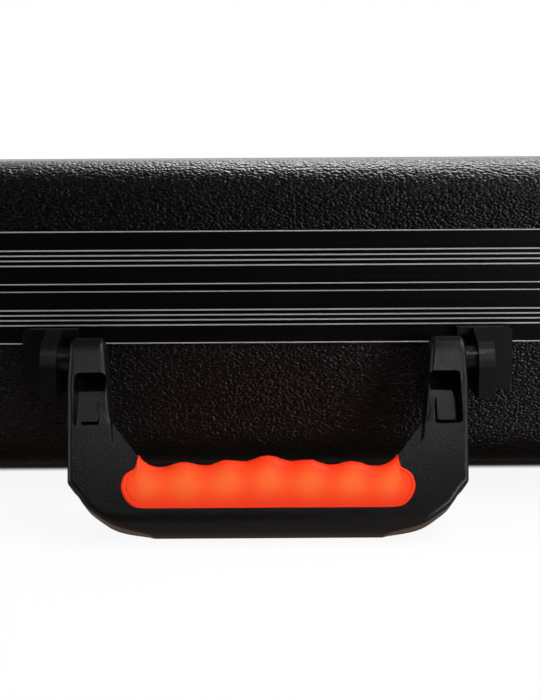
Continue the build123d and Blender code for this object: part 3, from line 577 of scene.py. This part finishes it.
class CaseFinish(bpy.types.PropertyGroup):
    shell_colour: FloatVectorProperty(
        name="Shell", description="Black of the leather-grained shells",
        default=linear("#030303"), subtype="COLOR", min=0, max=1,
    )
    anodised_colour: FloatVectorProperty(
        name="Frame", description="Black of the anodised frame",
        default=linear("#090909"), subtype="COLOR", min=0, max=1,
    )
    # Pale grey painted on the ribs and rolled lips as a highlight
    rib_highlight_colour: FloatVectorProperty(
        name="Ribs", description="Grey of the frame's ribs",
        default=linear("#d0d0d2"), subtype="COLOR", min=0, max=1,
    )
    nylon_colour: FloatVectorProperty(
        name="Handle", description="Black of the handle and its brackets",
        default=linear("#050505"), subtype="COLOR", min=0, max=1,
    )
    grip_colour: FloatVectorProperty(
        name="Grip", description="Orange of the soft grip",
        default=linear("#ff2402"), subtype="COLOR", min=0, max=1,
    )
    # Paler orange of the highlight painted on the grip's crests
    highlight_colour: FloatVectorProperty(
        name="Grip highlight", description="Paler orange painted as a highlight on the grip's crests",
        default=linear("#ff662a"), subtype="COLOR", min=0, max=1,
    )
    steel_colour: FloatVectorProperty(
        name="Steel", description="Grey of the plated latches and hinges",
        default=linear("#c9c8c4"), subtype="COLOR", min=0, max=1,
    )
    rubber_colour: FloatVectorProperty(
        name="Feet", description="Black of the rubber feet and bumpers",
        default=linear("#121212"), subtype="COLOR", min=0, max=1,
    )
    foam_colour: FloatVectorProperty(
        name="Foam", description="Charcoal of the lining",
        default=linear("#3a3a3d"), subtype="COLOR", min=0, max=1,
    )
    grain_cell: FloatProperty(
        name="Grain cell", description="Width of one cell of the leather grain",
        default=1.45 * MM, min=0.5 * MM, max=10 * MM, subtype="DISTANCE", unit="LENGTH",
    )
    grain_depth: FloatProperty(
        name="Grain depth", description="Depth of the leather grain",
        default=0.1 * MM, min=0, max=2 * MM, subtype="DISTANCE", unit="LENGTH",
    )


class CaseDetail(bpy.types.PropertyGroup):
    lip_radius: FloatProperty(
        name="Frame lip", description="Radius of the rolled lip on the frame's edges",
        default=0.26 * MM, min=0.1 * MM, max=2 * MM, subtype="DISTANCE", unit="LENGTH",
    )
    rib_width: FloatProperty(
        name="Rib width", description="Width of one rib on the frame",
        default=0.88 * MM, min=0.2 * MM, max=2 * MM, subtype="DISTANCE", unit="LENGTH",
    )
    foam_wave: FloatProperty(
        name="Foam wave", description="Height of the waves cut into the lid's foam",
        default=7 * MM, min=0, max=12 * MM, subtype="DISTANCE", unit="LENGTH",
    )
    foam_pitch: FloatProperty(
        name="Foam pitch", description="Distance from one foam peak to the next",
        default=26 * MM, min=8 * MM, max=80 * MM, subtype="DISTANCE", unit="LENGTH",
    )
    grip_swell: FloatProperty(
        name="Finger swell", description="How far the grip swells between the fingers",
        default=0.9 * MM, min=0, max=3 * MM, subtype="DISTANCE", unit="LENGTH",
    )
    finger_pitch: FloatProperty(
        name="Finger pitch", description="Distance from one finger hollow to the next",
        default=14.65 * MM, min=8 * MM, max=30 * MM, subtype="DISTANCE", unit="LENGTH",
    )


class StudioStage(bpy.types.PropertyGroup):
    floor_colour: FloatVectorProperty(
        name="Floor", description="Colour of the plain floor",
        default=linear("#f4f3f2"), subtype="COLOR", min=0, max=1,
    )
    floor_glow: FloatProperty(
        name="Floor glow", description="How much of the floor near the case shows as plain white",
        default=0.92, min=0, max=1, subtype="FACTOR",
    )
    world_level: FloatProperty(
        name="Room light", description="Strength of the even light from all round",
        default=0.3, min=0, max=2, subtype="FACTOR",
    )
    lamp_level: FloatProperty(
        name="Lamps", description="Share of their usual power that the lamps give",
        default=1.0, min=0, max=4, subtype="FACTOR",
    )
    lens: FloatProperty(
        name="Lens", description="Focal length of the camera",
        default=59.4 * MM, min=0.02, max=0.2, unit="CAMERA",
    )
    camera_place: FloatVectorProperty(
        name="Camera place", description="Where the camera stands",
        default=(0.00095, -0.585, 0.1352), precision=5, subtype="TRANSLATION", unit="LENGTH",
    )
    camera_pitch: FloatProperty(
        name="Camera pitch", description="How far the camera looks down",
        default=radians(9.6), subtype="ANGLE", unit="ROTATION",
    )
    camera_roll: FloatProperty(
        name="Camera roll", description="How far the camera leans",
        default=radians(0.34), subtype="ANGLE", unit="ROTATION",
    )


class CASE_OT_shells(bpy.types.Operator):
    """Finishes the two shells in leather-grained ABS"""
    bl_idname = "pedalboard_case.shells"
    bl_label = "Shells"

    def execute(self, context):
        give(leather_grain_abs(context.scene.case_finish), "base_shell", "lid_shell")
        return {"FINISHED"}


class CASE_OT_frames(bpy.types.Operator):
    """Finishes the frames, and adds their rounded ribs and rolled lips"""
    bl_idname = "pedalboard_case.frames"
    bl_label = "Frames"

    def execute(self, context):
        finish, detail = context.scene.case_finish, context.scene.case_detail
        # The ribs and lips are painted pale grey as highlights along the frame
        black, satin = anodised_aluminium(finish), highlight_aluminium(finish)
        give(black, "base_frame", "lid_frame", "base_joint_plate", "lid_joint_plate")
        for half, top in FRAME_TOPS.items():
            bottom = top - FRAME_HEIGHT
            faint = LIP_FAINT if half == "base" else 1.0
            lips = [
                self.lip(bottom + detail.lip_radius, detail.lip_radius, 1.0),
                self.lip(top - detail.lip_radius, detail.lip_radius, faint),
            ]
            ribs = []
            for k in range(RIB_COUNT):
                middle = (bottom + top) / 2 + (k - (RIB_COUNT - 1) / 2) * RIB_PITCH
                section = [
                    (out * MM, middle + share * detail.rib_width / 2) for out, share in RIB_SECTION
                ]
                ribs.append(sweep(case_outline(0), section))
            for name, loops in (("lips", lips), ("ribs", ribs)):
                slot = "black_anodised_aluminium"
                make_piece(f"{half}_frame_{name}", *merge(loops), satin, half, slot)
        return {"FINISHED"}

    def lip(self, edge, radius, share):
        """A rolled lip round the frame, its middle at the height of the edge."""
        proud = share * LIP_PROUD * radius
        section = [
            (proud * sin(turn) - LIP_SINK, edge + radius * cos(turn))
            for turn in [pi * k / LIP_STEPS for k in range(LIP_STEPS + 1)]
        ]
        section += [(-LIP_ROOT, edge - radius), (-LIP_ROOT, edge + radius)]
        return sweep(case_outline(0), section)


class CASE_OT_handle(bpy.types.Operator):
    """Finishes the handle and its brackets, and moulds the soft grip with its finger hollows"""
    bl_idname = "pedalboard_case.handle"
    bl_label = "Handle"

    def execute(self, context):
        finish, detail = context.scene.case_finish, context.scene.case_detail
        # Glass-filled nylon from a spark-eroded mould: black, satin, with a fine stipple.
        # The real stipple is about 0.2 mm; it is drawn at 0.45 mm so that it shows
        stippled = moulded_polymer(
            "Nylon, moulded, spark-eroded", finish.nylon_colour, 0.45 * MM, 0.22 * MM, 0.3
        )
        # The same nylon from a shallower texture, a little duller; drawn at 0.5 mm
        shallow = moulded_polymer(
            "Nylon, moulded, shallow texture", finish.nylon_colour, 0.5 * MM, 0.12 * MM, 0.34
        )
        give(stippled, "handle_body")
        give(shallow, "handle_bracket_left", "handle_bracket_right")
        self.grip(finish, detail)
        return {"FINISHED"}

    def grip(self, finish, detail):
        """The grip as two faces drawn over the bar and joined along its edge."""
        pivot = next(Vector(j["pos_m"]) for j in frame["joints"] if j["name"] == "handle_swing")
        tilt = acos((pivot.z - BAR * MM) / ((REACH - BAR) * MM))
        down = Vector((0, -sin(tilt), -cos(tilt)))
        out = Vector((0, -cos(tilt), sin(tilt)))
        pitch, swell = detail.finger_pitch / MM, detail.grip_swell / MM
        half = [WIDE_STEP * i for i in range(WIDE_COUNT)]
        half += [HORN - CLOSE_STEP * i for i in range(CLOSE_COUNT, 0, -1)]
        turns = [pi / 2 * i / LOBE_COUNT for i in range(LOBE_COUNT + 1)]
        half += [HORN + (WIDEST - HORN) * sin(turn) for turn in turns]
        xs = [-x for x in reversed(half[1:])] + half
        edge = [(x, through_points(GRIP_TOP, abs(x))) for x in fine(xs)]
        foot = [(x, through_points(GRIP_FOOT, abs(x))) for x in fine(xs)]
        over = nearest([place for place in edge if abs(place[0]) <= HORN])
        # The rim starts past the horn, where the top edge turns down the lobe
        rim = nearest([place for place in edge if abs(place[0]) > HORN + 0.4] + foot)

        def height(x, drop):
            """How far the grip's face stands in front of the bar's middle."""
            share = (drop - GRIP_TOP[0][1]) / (GRIP_FOOT[0][1] - GRIP_TOP[0][1])
            from_top, from_rim = over(x, drop), rim(x, drop)
            level = GRIP_FRONT - FALL_TOP * (1 - share) ** 2
            level -= FALL_FOOT * max(0.0, share - FALL_START) ** 2
            hollow = 0.5 - 0.5 * cos(2 * pi * (x - HOLLOW_LEAN * (share - HOLLOW_MIDDLE)) / pitch)
            fade = min(1.0, max(0.0, HOLLOW_DEPTH - HOLLOW_FADE * share))
            level -= swell * hollow * fade * min(1.0, from_rim / HOLLOW_MARGIN)
            level -= rolled(GRIP_ROLL, from_top) + rolled(GRIP_LIP, from_rim)
            line = max(0.0, 1 - abs(from_rim - LINE_PLACE) / LINE_HALF)
            return level - LINE_DEPTH * line * min(1.0, from_top / LINE_MARGIN)

        sides, highlights = [], []
        for way in (1, -1):
            vertices, faces = [], []
            for x in xs:
                top, foot = through_points(GRIP_TOP, abs(x)), through_points(GRIP_FOOT, abs(x))
                # Share of the painted highlight: on the crests, at mid height, fading at the grip's
                # ends
                crest = HIGHLIGHT_EVEN + HIGHLIGHT_CREST * cos(2 * pi * x / pitch)
                ends = min(1.0, (WIDEST - abs(x)) / HIGHLIGHT_MARGIN)
                for j in range(GRIP_ROWS + 1):
                    # The rows draw closer together towards both edges
                    u = j / GRIP_ROWS
                    share = ROWS_EVEN * u + (1 - ROWS_EVEN) * u * u * (3 - 2 * u)
                    drop = top + share * (foot - top)
                    across = Vector((x, 0, 0)) + down * drop + out * way * height(x, drop)
                    vertices.append(tuple(pivot + MM * across))
                    highlights.append(crest * ends * exp(-((u - HIGHLIGHT_MIDDLE) / HIGHLIGHT_WIDTH) ** 2))
            for i in range(len(xs) - 1):
                for j in range(GRIP_ROWS):
                    p = i * (GRIP_ROWS + 1) + j
                    faces.append((p, p + GRIP_ROWS + 1, p + GRIP_ROWS + 2, p + 1))
            sides.append((vertices, faces))
        vertices, faces = merge(sides)
        join_edges(faces, len(xs), GRIP_ROWS + 1, len(vertices) // 2)
        grip = make_piece("soft_grip", vertices, faces, soft_grip(finish), "handle", "grip_rubber")
        # Each point keeps its share of the painted highlight
        grip.data.attributes.new("painted_highlight", "FLOAT", "POINT").data.foreach_set("value", highlights)
        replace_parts(turn_outside_out(grip), "handle_grip")


class CASE_OT_hardware(bpy.types.Operator):
    """Finishes the latches, hinges and pins, and sets domed rivets and screws"""
    bl_idname = "pedalboard_case.hardware"
    bl_label = "Latches, hinges and fixings"

    def execute(self, context):
        steel = context.scene.case_finish.steel_colour
        # Pressed steel, nickel plated: the grey of case latches and hinges
        nickel = plated_metal("Steel sheet, nickel plated", steel, 0.36)
        # Cold-headed steel, zinc plated: a duller grey for screws and pins
        zinc = plated_metal("Steel, zinc plated", tuple(0.8 * part for part in steel), 0.34)
        # Aluminium rivets, left as they are set: pale and satin
        pale = plated_metal("Aluminium rivet, as set", steel, 0.38)
        sheets = (
            "latch_plate", "latch_lever", "latch_claw", "keeper", "hinge_base", "hinge_lid", "lock"
        )
        turned = ("handle_pin", "hinge_pin", "latch_pivot", "claw_pin", "bracket_backing")
        for name in frame["nodes"]:
            if name.startswith(sheets):
                give(nickel, name)
            elif name.startswith(turned):
                give(zinc, name)
        self.rivets(pale)
        self.screws(zinc)
        return {"FINISHED"}

    def rivets(self, material):
        """Domed heads, each with the end of its mandrel, in place of the plain ones."""
        profile = [(r * MM, share * RIVET_HEIGHT) for r, share in RIVET_PROFILE]
        for node, (body, way, half_span, step, height) in RIVETS.items():
            low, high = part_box(node)
            seat = (high.y if way > 0 else low.y) - way * RIVET_HEIGHT
            heads = []
            for x in [side * half_span + part * step for side in (-1, 1) for part in (-1, 1)]:
                place = facing(Vector((x * MM, seat, height * MM)), (0, way, 0))
                heads.append(lathe(profile, place))
            piece = make_piece(f"{node}_domed", *merge(heads), material, body, "rivet_aluminium")
            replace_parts(turn_outside_out(piece), node)

    def screws(self, material):
        """Cross-head screws in the feet and bumpers, and inside the brackets."""
        corners = [(sx * FOOT_X, sy * FOOT_Y, FOOT_SEAT) for sx in (-1, 1) for sy in (-1, 1)]
        feet = [head_with_cross(facing(Vector(at), (0, 0, -1)), *SCREW_HEAD) for at in corners]
        self.heads("foot_screw_heads", feet, material, "base", "foot_screws")
        for half in FRAME_TOPS:
            low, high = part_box(f"bumper_{half}_left")
            height = (low.z + high.z) / 2
            seats = [Vector((side * BUMPER_X, low.y + BUMPER_SEAT, height)) for side in (-1, 1)]
            heads = [head_with_cross(facing(seat, (0, 1, 0)), *SCREW_HEAD) for seat in seats]
            name = f"bumper_screw_heads_{half}"
            self.heads(name, heads, material, half, f"bumper_screws_{half}")
        low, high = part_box("bracket_backing_right")
        middle = (low + high) / 2
        inside = []
        for x in [s * middle.x + t * BRACKET_SCREW_STEP for s in (-1, 1) for t in (-1, 1)]:
            place = facing(Vector((x, high.y, middle.z)), (0, 1, 0))
            inside.append(head_with_cross(place, *BRACKET_SCREW_HEAD))
        self.heads("bracket_screw_heads", inside, material, "base", "bracket_screws")

    def heads(self, name, heads, material, body, node):
        """A group of screw heads as one piece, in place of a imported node."""
        piece = make_piece(name, *merge(heads), material, body, "zinc_plated_steel")
        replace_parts(turn_outside_out(piece), node)


class CASE_OT_rubber(bpy.types.Operator):
    """Turns the rubber feet and bumpers, with rounded edges and a ring on the sole"""
    bl_idname = "pedalboard_case.rubber"
    bl_label = "Feet and bumpers"

    def execute(self, context):
        finish = context.scene.case_finish
        # Natural rubber, moulded: black, matt, with a fine dusty bloom
        rubber = moulded_polymer("Rubber, moulded", finish.rubber_colour, 1.0 * MM, 0.05 * MM, 0.72)
        kinds = ("foot_front", "foot_back", "bumper_base", "bumper_lid")
        for name in [node for node in frame["nodes"] if node.startswith(kinds)]:
            low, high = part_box(name)
            middle = (low + high) / 2
            if name.startswith("foot"):
                place = Matrix.Translation((middle.x, middle.y, low.z))
                (h, r, top), ring = FOOT_SHAPE, SOLE_RING
            else:
                place = facing(Vector((middle.x, high.y, middle.z)), (0, -1, 0))
                (h, r, top), ring = BUMPER_SHAPE, ()
            # From the bore out over the seat, down the side, over the sole and up the bore
            profile = [
                (SHANK_BORE, h - 0.05), (top - 0.5, h - 0.05), (top, h - 0.6), (r + 0.3, 1.8),
                (r, 1.0), (r - 0.45, 0.3), (r - 1.2, 0.0), *ring,
                (HEAD_BORE + 0.6, 0.0), (HEAD_BORE, 0.5), (HEAD_BORE, h / 2), (SHANK_BORE, h / 2),
            ]
            profile = [(a * MM, b * MM) for a, b in profile]
            vertices, faces = lathe(profile, place, RUBBER_STEPS)
            body = "lid" if name.startswith("bumper_lid") else "base"
            piece = make_piece(f"{name}_moulded", vertices, faces, rubber, body, "foot_rubber")
            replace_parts(turn_outside_out(piece), name)
        return {"FINISHED"}


class CASE_OT_foam(bpy.types.Operator):
    """Cuts the foam lining: waved in the lid, level on the floor and a band round the sides"""
    bl_idname = "pedalboard_case.foam"
    bl_label = "Foam lining"

    def execute(self, context):
        finish, detail = context.scene.case_finish, context.scene.case_detail
        foam = cell_foam(finish)
        self.pad("floor_foam", "base_floor_foam", foam, "base", 1, FLOOR_WAVE, FLOOR_PITCH)
        self.pad("lid_waved_foam", "lid_foam", foam, "lid", -1, detail.foam_wave, detail.foam_pitch)
        self.band("side_foam_band", "base_side_foam", foam)
        return {"FINISHED"}

    def band(self, name, node, material):
        """The band round the base, pressed thin behind each bracket's backing plate."""
        low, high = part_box(node)
        across = (-BAND_THICK, -BAND_THICK + BAND_CUT, -BAND_CUT, 0)
        up = (low.z, low.z + BAND_CUT, high.z - BAND_CUT, high.z)
        section = [
            (across[0], up[1]), (across[1], up[0]), (across[2], up[0]), (across[3], up[1]),
            (across[3], up[2]), (across[2], up[3]), (across[1], up[3]), (across[0], up[2]),
        ]
        plate_low, plate_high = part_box("bracket_backing_right")
        path = self.even(case_outline(SIDE - high.x), BAND_STEP)
        vertices = []
        for point, out in path:
            beside = plate_low.x - PRESS_MARGIN < abs(point.x) < plate_high.x + PRESS_MARGIN
            start, share = (-PRESS_SHIFT, PRESS_SHARE) if beside and out.y < -0.9 else (0.0, 1.0)
            vertices += [(*(point + out * (start + a * share)), z) for a, z in section]
        faces = loop_faces(len(path), len(section))
        band = make_piece(name, vertices, faces, material, "base", "lining_foam")
        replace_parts(turn_outside_out(band), node)

    def even(self, path, step):
        """Adds points along the straights of a closed path."""
        made = []
        for (a, out), (b, other) in zip(path, path[1:] + path[:1]):
            parts = max(1, int((b - a).length / step))
            for t in [k / parts for k in range(parts)]:
                made.append((a.lerp(b, t), out.lerp(other, t).normalized()))
        return made

    def pad(self, name, node, material, body, way, wave, pitch):
        """A sheet of foam that fills a node's place, its free face towards way."""
        low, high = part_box(node)
        hx, hy = (high.x - low.x) / 2, (high.y - low.y) / 2
        seat, face = (low.z, high.z) if way > 0 else (high.z, low.z)

        def eased(share):
            """A share from -1 to 1, drawn towards both ends."""
            return PAD_EASE * sin(pi / 2 * share) + (1 - PAD_EASE) * share

        top, bottom = [], []
        for j in range(PAD_ROWS + 1):
            y = hy * eased(2 * j / PAD_ROWS - 1)
            over = max(0.0, abs(y) - (hy - PAD_CORNER))
            width = hx - PAD_CORNER + sqrt(max(0.0, PAD_CORNER ** 2 - over ** 2))
            for i in range(PAD_COLUMNS + 1):
                x = width * eased(2 * i / PAD_COLUMNS - 1)
                crest = 0.5 + 0.25 * (cos(2 * pi * x / pitch) + cos(2 * pi * y / pitch))
                edge = max(0.0, min(width - abs(x), hy - abs(y)))
                roll = PAD_ROLL * (1 - min(1.0, edge / PAD_ROLL_WIDTH)) ** 2
                top.append((x, y, face - way * ((1 - crest) * wave + roll)))
                bottom.append((x, y, seat))
        faces = []
        for j in range(PAD_ROWS):
            for i in range(PAD_COLUMNS):
                p = j * (PAD_COLUMNS + 1) + i
                quad = (p, p + 1, p + PAD_COLUMNS + 2, p + PAD_COLUMNS + 1)
                faces += [quad, tuple(len(top) + q for q in reversed(quad))]
        join_edges(faces, PAD_ROWS + 1, PAD_COLUMNS + 1, len(top))
        piece = make_piece(name, top + bottom, faces, material, body, "lining_foam")
        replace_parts(turn_outside_out(piece), node)


class CASE_OT_stage(bpy.types.Operator):
    """Sets the plain floor, the soft lamps and the camera"""
    bl_idname = "pedalboard_case.stage"
    bl_label = "Floor, lamps and camera"

    def execute(self, context):
        stage = context.scene.case_stage
        context.scene.view_settings.view_transform = "Standard"
        self.floor(stage)
        self.cards()
        self.world(context, stage)
        for name, settings in LAMPS.items():
            self.lamp(name, stage.lamp_level, *settings)
        self.camera(context, stage)
        return {"FINISHED"}

    def sheet(self, name, corners, material):
        """A flat piece of the stage."""
        made = make_object(name, corners, [(0, 1, 2, 3)], material)
        return made

    def floor(self, stage):
        """A wide pale floor that shows white to the camera and keeps the case's shadow."""
        # Painted board, matt. It glows almost white when seen, quite white further out,
        # and not under the case, where its shadow stays dark
        material = bpy.data.materials.new("Painted board, matt")
        tree = bare_tree(material)
        place = add_node(tree, "TexCoord").outputs["Object"]
        low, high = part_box("base_shell")
        middle, half = (low + high) / 2, (high - low) / 2
        offset = add_node(tree, "VectorMath", {0: place, 1: (*middle.xy, 0)}, operation="SUBTRACT")
        apart = add_node(tree, "VectorMath", {0: offset}, operation="ABSOLUTE")
        past = add_node(tree, "VectorMath", {0: apart, 1: (*half.xy, 0)}, operation="SUBTRACT")
        beside = add_node(tree, "SeparateXYZ", {0: past}).outputs
        beyond = add_node(tree, "Math", {0: beside["X"], 1: beside["Y"]}, operation="MAXIMUM")
        near = {"From Min": GLOW_START, "From Max": GLOW_FULL, "To Max": stage.floor_glow}
        far = {"From Min": WHITE_START, "From Max": WHITE_FULL}
        under, away = [
            add_node(tree, "MapRange", {"Value": beyond, **span}, interpolation_type="SMOOTHSTEP")
            for span in (near, far)
        ]
        glow = add_node(tree, "Math", {0: under, 1: away}, operation="MAXIMUM")
        share = add_node(tree, "Math", {0: self.seen(tree), 1: glow}, operation="MULTIPLY")
        board = add_node(tree, "BsdfDiffuse", {"Color": shade(stage.floor_colour)})
        white = add_node(tree, "Emission", {"Color": (1, 1, 1, 1)})
        mixed = add_node(tree, "MixShader", {0: share, 1: board, 2: white})
        add_node(tree, "OutputMaterial", {"Surface": mixed})
        signs = ((-1, -1), (1, -1), (1, 1), (-1, 1))
        self.sheet("floor", [(sx * FLOOR_REACH, sy * FLOOR_REACH, 0) for sx, sy in signs], material)

    def seen(self, tree):
        """One for rays that show a surface: from the camera, mirrored or passed through."""
        path = add_node(tree, "LightPath").outputs
        either = add_node(
            tree, "Math", {0: path["Is Camera Ray"], 1: path["Is Glossy Ray"]}, operation="MAXIMUM"
        )
        return add_node(
            tree, "Math", {0: either, 1: path["Is Transmission Ray"]}, operation="MAXIMUM"
        )

    def cards(self):
        """Glowing dark and brown cards out of the picture, which only the glossy surfaces mirror:
        painted reflections.
        """
        for number, (half, (y0, z0), (y1, z1), colour) in enumerate(REFLECTION_CARDS):
            material = bpy.data.materials.new(f"Glowing reflection card {number}")
            tree = bare_tree(material)
            # Each card glows with its colour, though it is no lamp
            glow = add_node(tree, "Emission", {"Color": shade(linear(colour))})
            add_node(tree, "OutputMaterial", {"Surface": glow})
            corners = [(-half, y0, z0), (half, y0, z0), (half, y1, z1), (-half, y1, z1)]
            card = self.sheet(f"card_{number}", corners, material)
            for ray in ("camera", "diffuse", "transmission", "shadow"):
                setattr(card, f"visible_{ray}", False)

    def world(self, context, stage):
        """Even room light that shows white behind the case."""
        context.scene.world = bpy.data.worlds.new("Studio")
        tree = bare_tree(context.scene.world)
        levels = {"Value": self.seen(tree), "To Min": stage.world_level}
        strength = add_node(tree, "MapRange", levels)
        light = add_node(tree, "Background", {"Color": (1, 1, 1, 1), "Strength": strength})
        add_node(tree, "OutputWorld", {"Surface": light})

    def lamp(self, name, level, place, aim, size, power, spread, left_out):
        """A soft rectangular lamp, turned towards its aim."""
        data = bpy.data.lights.new(name, "AREA")
        data.shape = "RECTANGLE"
        data.size, data.size_y = size
        data.energy = level * power
        data.spread = radians(spread)
        lamp = bpy.data.objects.new(name, data)
        lamp.location = place
        lamp.rotation_euler = (Vector(aim) - Vector(place)).to_track_quat("-Z", "Y").to_euler()
        setattr(lamp, f"visible_{left_out}", False)
        bpy.context.scene.collection.objects.link(lamp)

    def camera(self, context, stage):
        """The camera at the photograph's angle."""
        data = bpy.data.cameras.new("camera")
        data.lens = stage.lens / MM
        data.sensor_width = SENSOR_WIDTH
        data.clip_start, data.clip_end = 0.01, 100
        camera = bpy.data.objects.new("camera", data)
        camera.matrix_world = (
            Matrix.Translation(stage.camera_place)
            @ Matrix.Rotation(radians(90) - stage.camera_pitch, 4, "X")
            @ Matrix.Rotation(-stage.camera_roll, 4, "Z")
        )
        context.scene.collection.objects.link(camera)
        context.scene.camera = camera


OPERATORS = (
    CASE_OT_shells, CASE_OT_frames, CASE_OT_handle, CASE_OT_hardware, CASE_OT_rubber,
    CASE_OT_foam, CASE_OT_stage,
)
GROUPS = {"case_finish": CaseFinish, "case_detail": CaseDetail, "case_stage": StudioStage}


class CASE_PT_panel(bpy.types.Panel):
    """Colours, sizes and pieces of the pedalboard case"""
    bl_idname = "CASE_PT_panel"
    bl_label = "Pedalboard case"
    bl_space_type = "VIEW_3D"
    bl_region_type = "UI"
    bl_category = "Pedalboard case"

    def draw(self, context):
        for operator in OPERATORS:
            self.layout.operator(operator.bl_idname)
        for group in GROUPS:
            box = self.layout.box()
            settings = getattr(context.scene, group)
            for name in settings.__annotations__:
                box.prop(settings, name)


def register():
    for kind in (*GROUPS.values(), *OPERATORS, CASE_PT_panel):
        bpy.utils.register_class(kind)
    for name, kind in GROUPS.items():
        setattr(bpy.types.Scene, name, PointerProperty(type=kind))


def unregister():
    for name in GROUPS:
        delattr(bpy.types.Scene, name)
    for kind in reversed((*GROUPS.values(), *OPERATORS, CASE_PT_panel)):
        bpy.utils.unregister_class(kind)


def main():
    register()
    case = bpy.ops.pedalboard_case
    for make in (
        case.shells, case.frames, case.handle, case.hardware, case.rubber, case.foam, case.stage
    ):
        make()


if __name__ == "__main__":
    main()
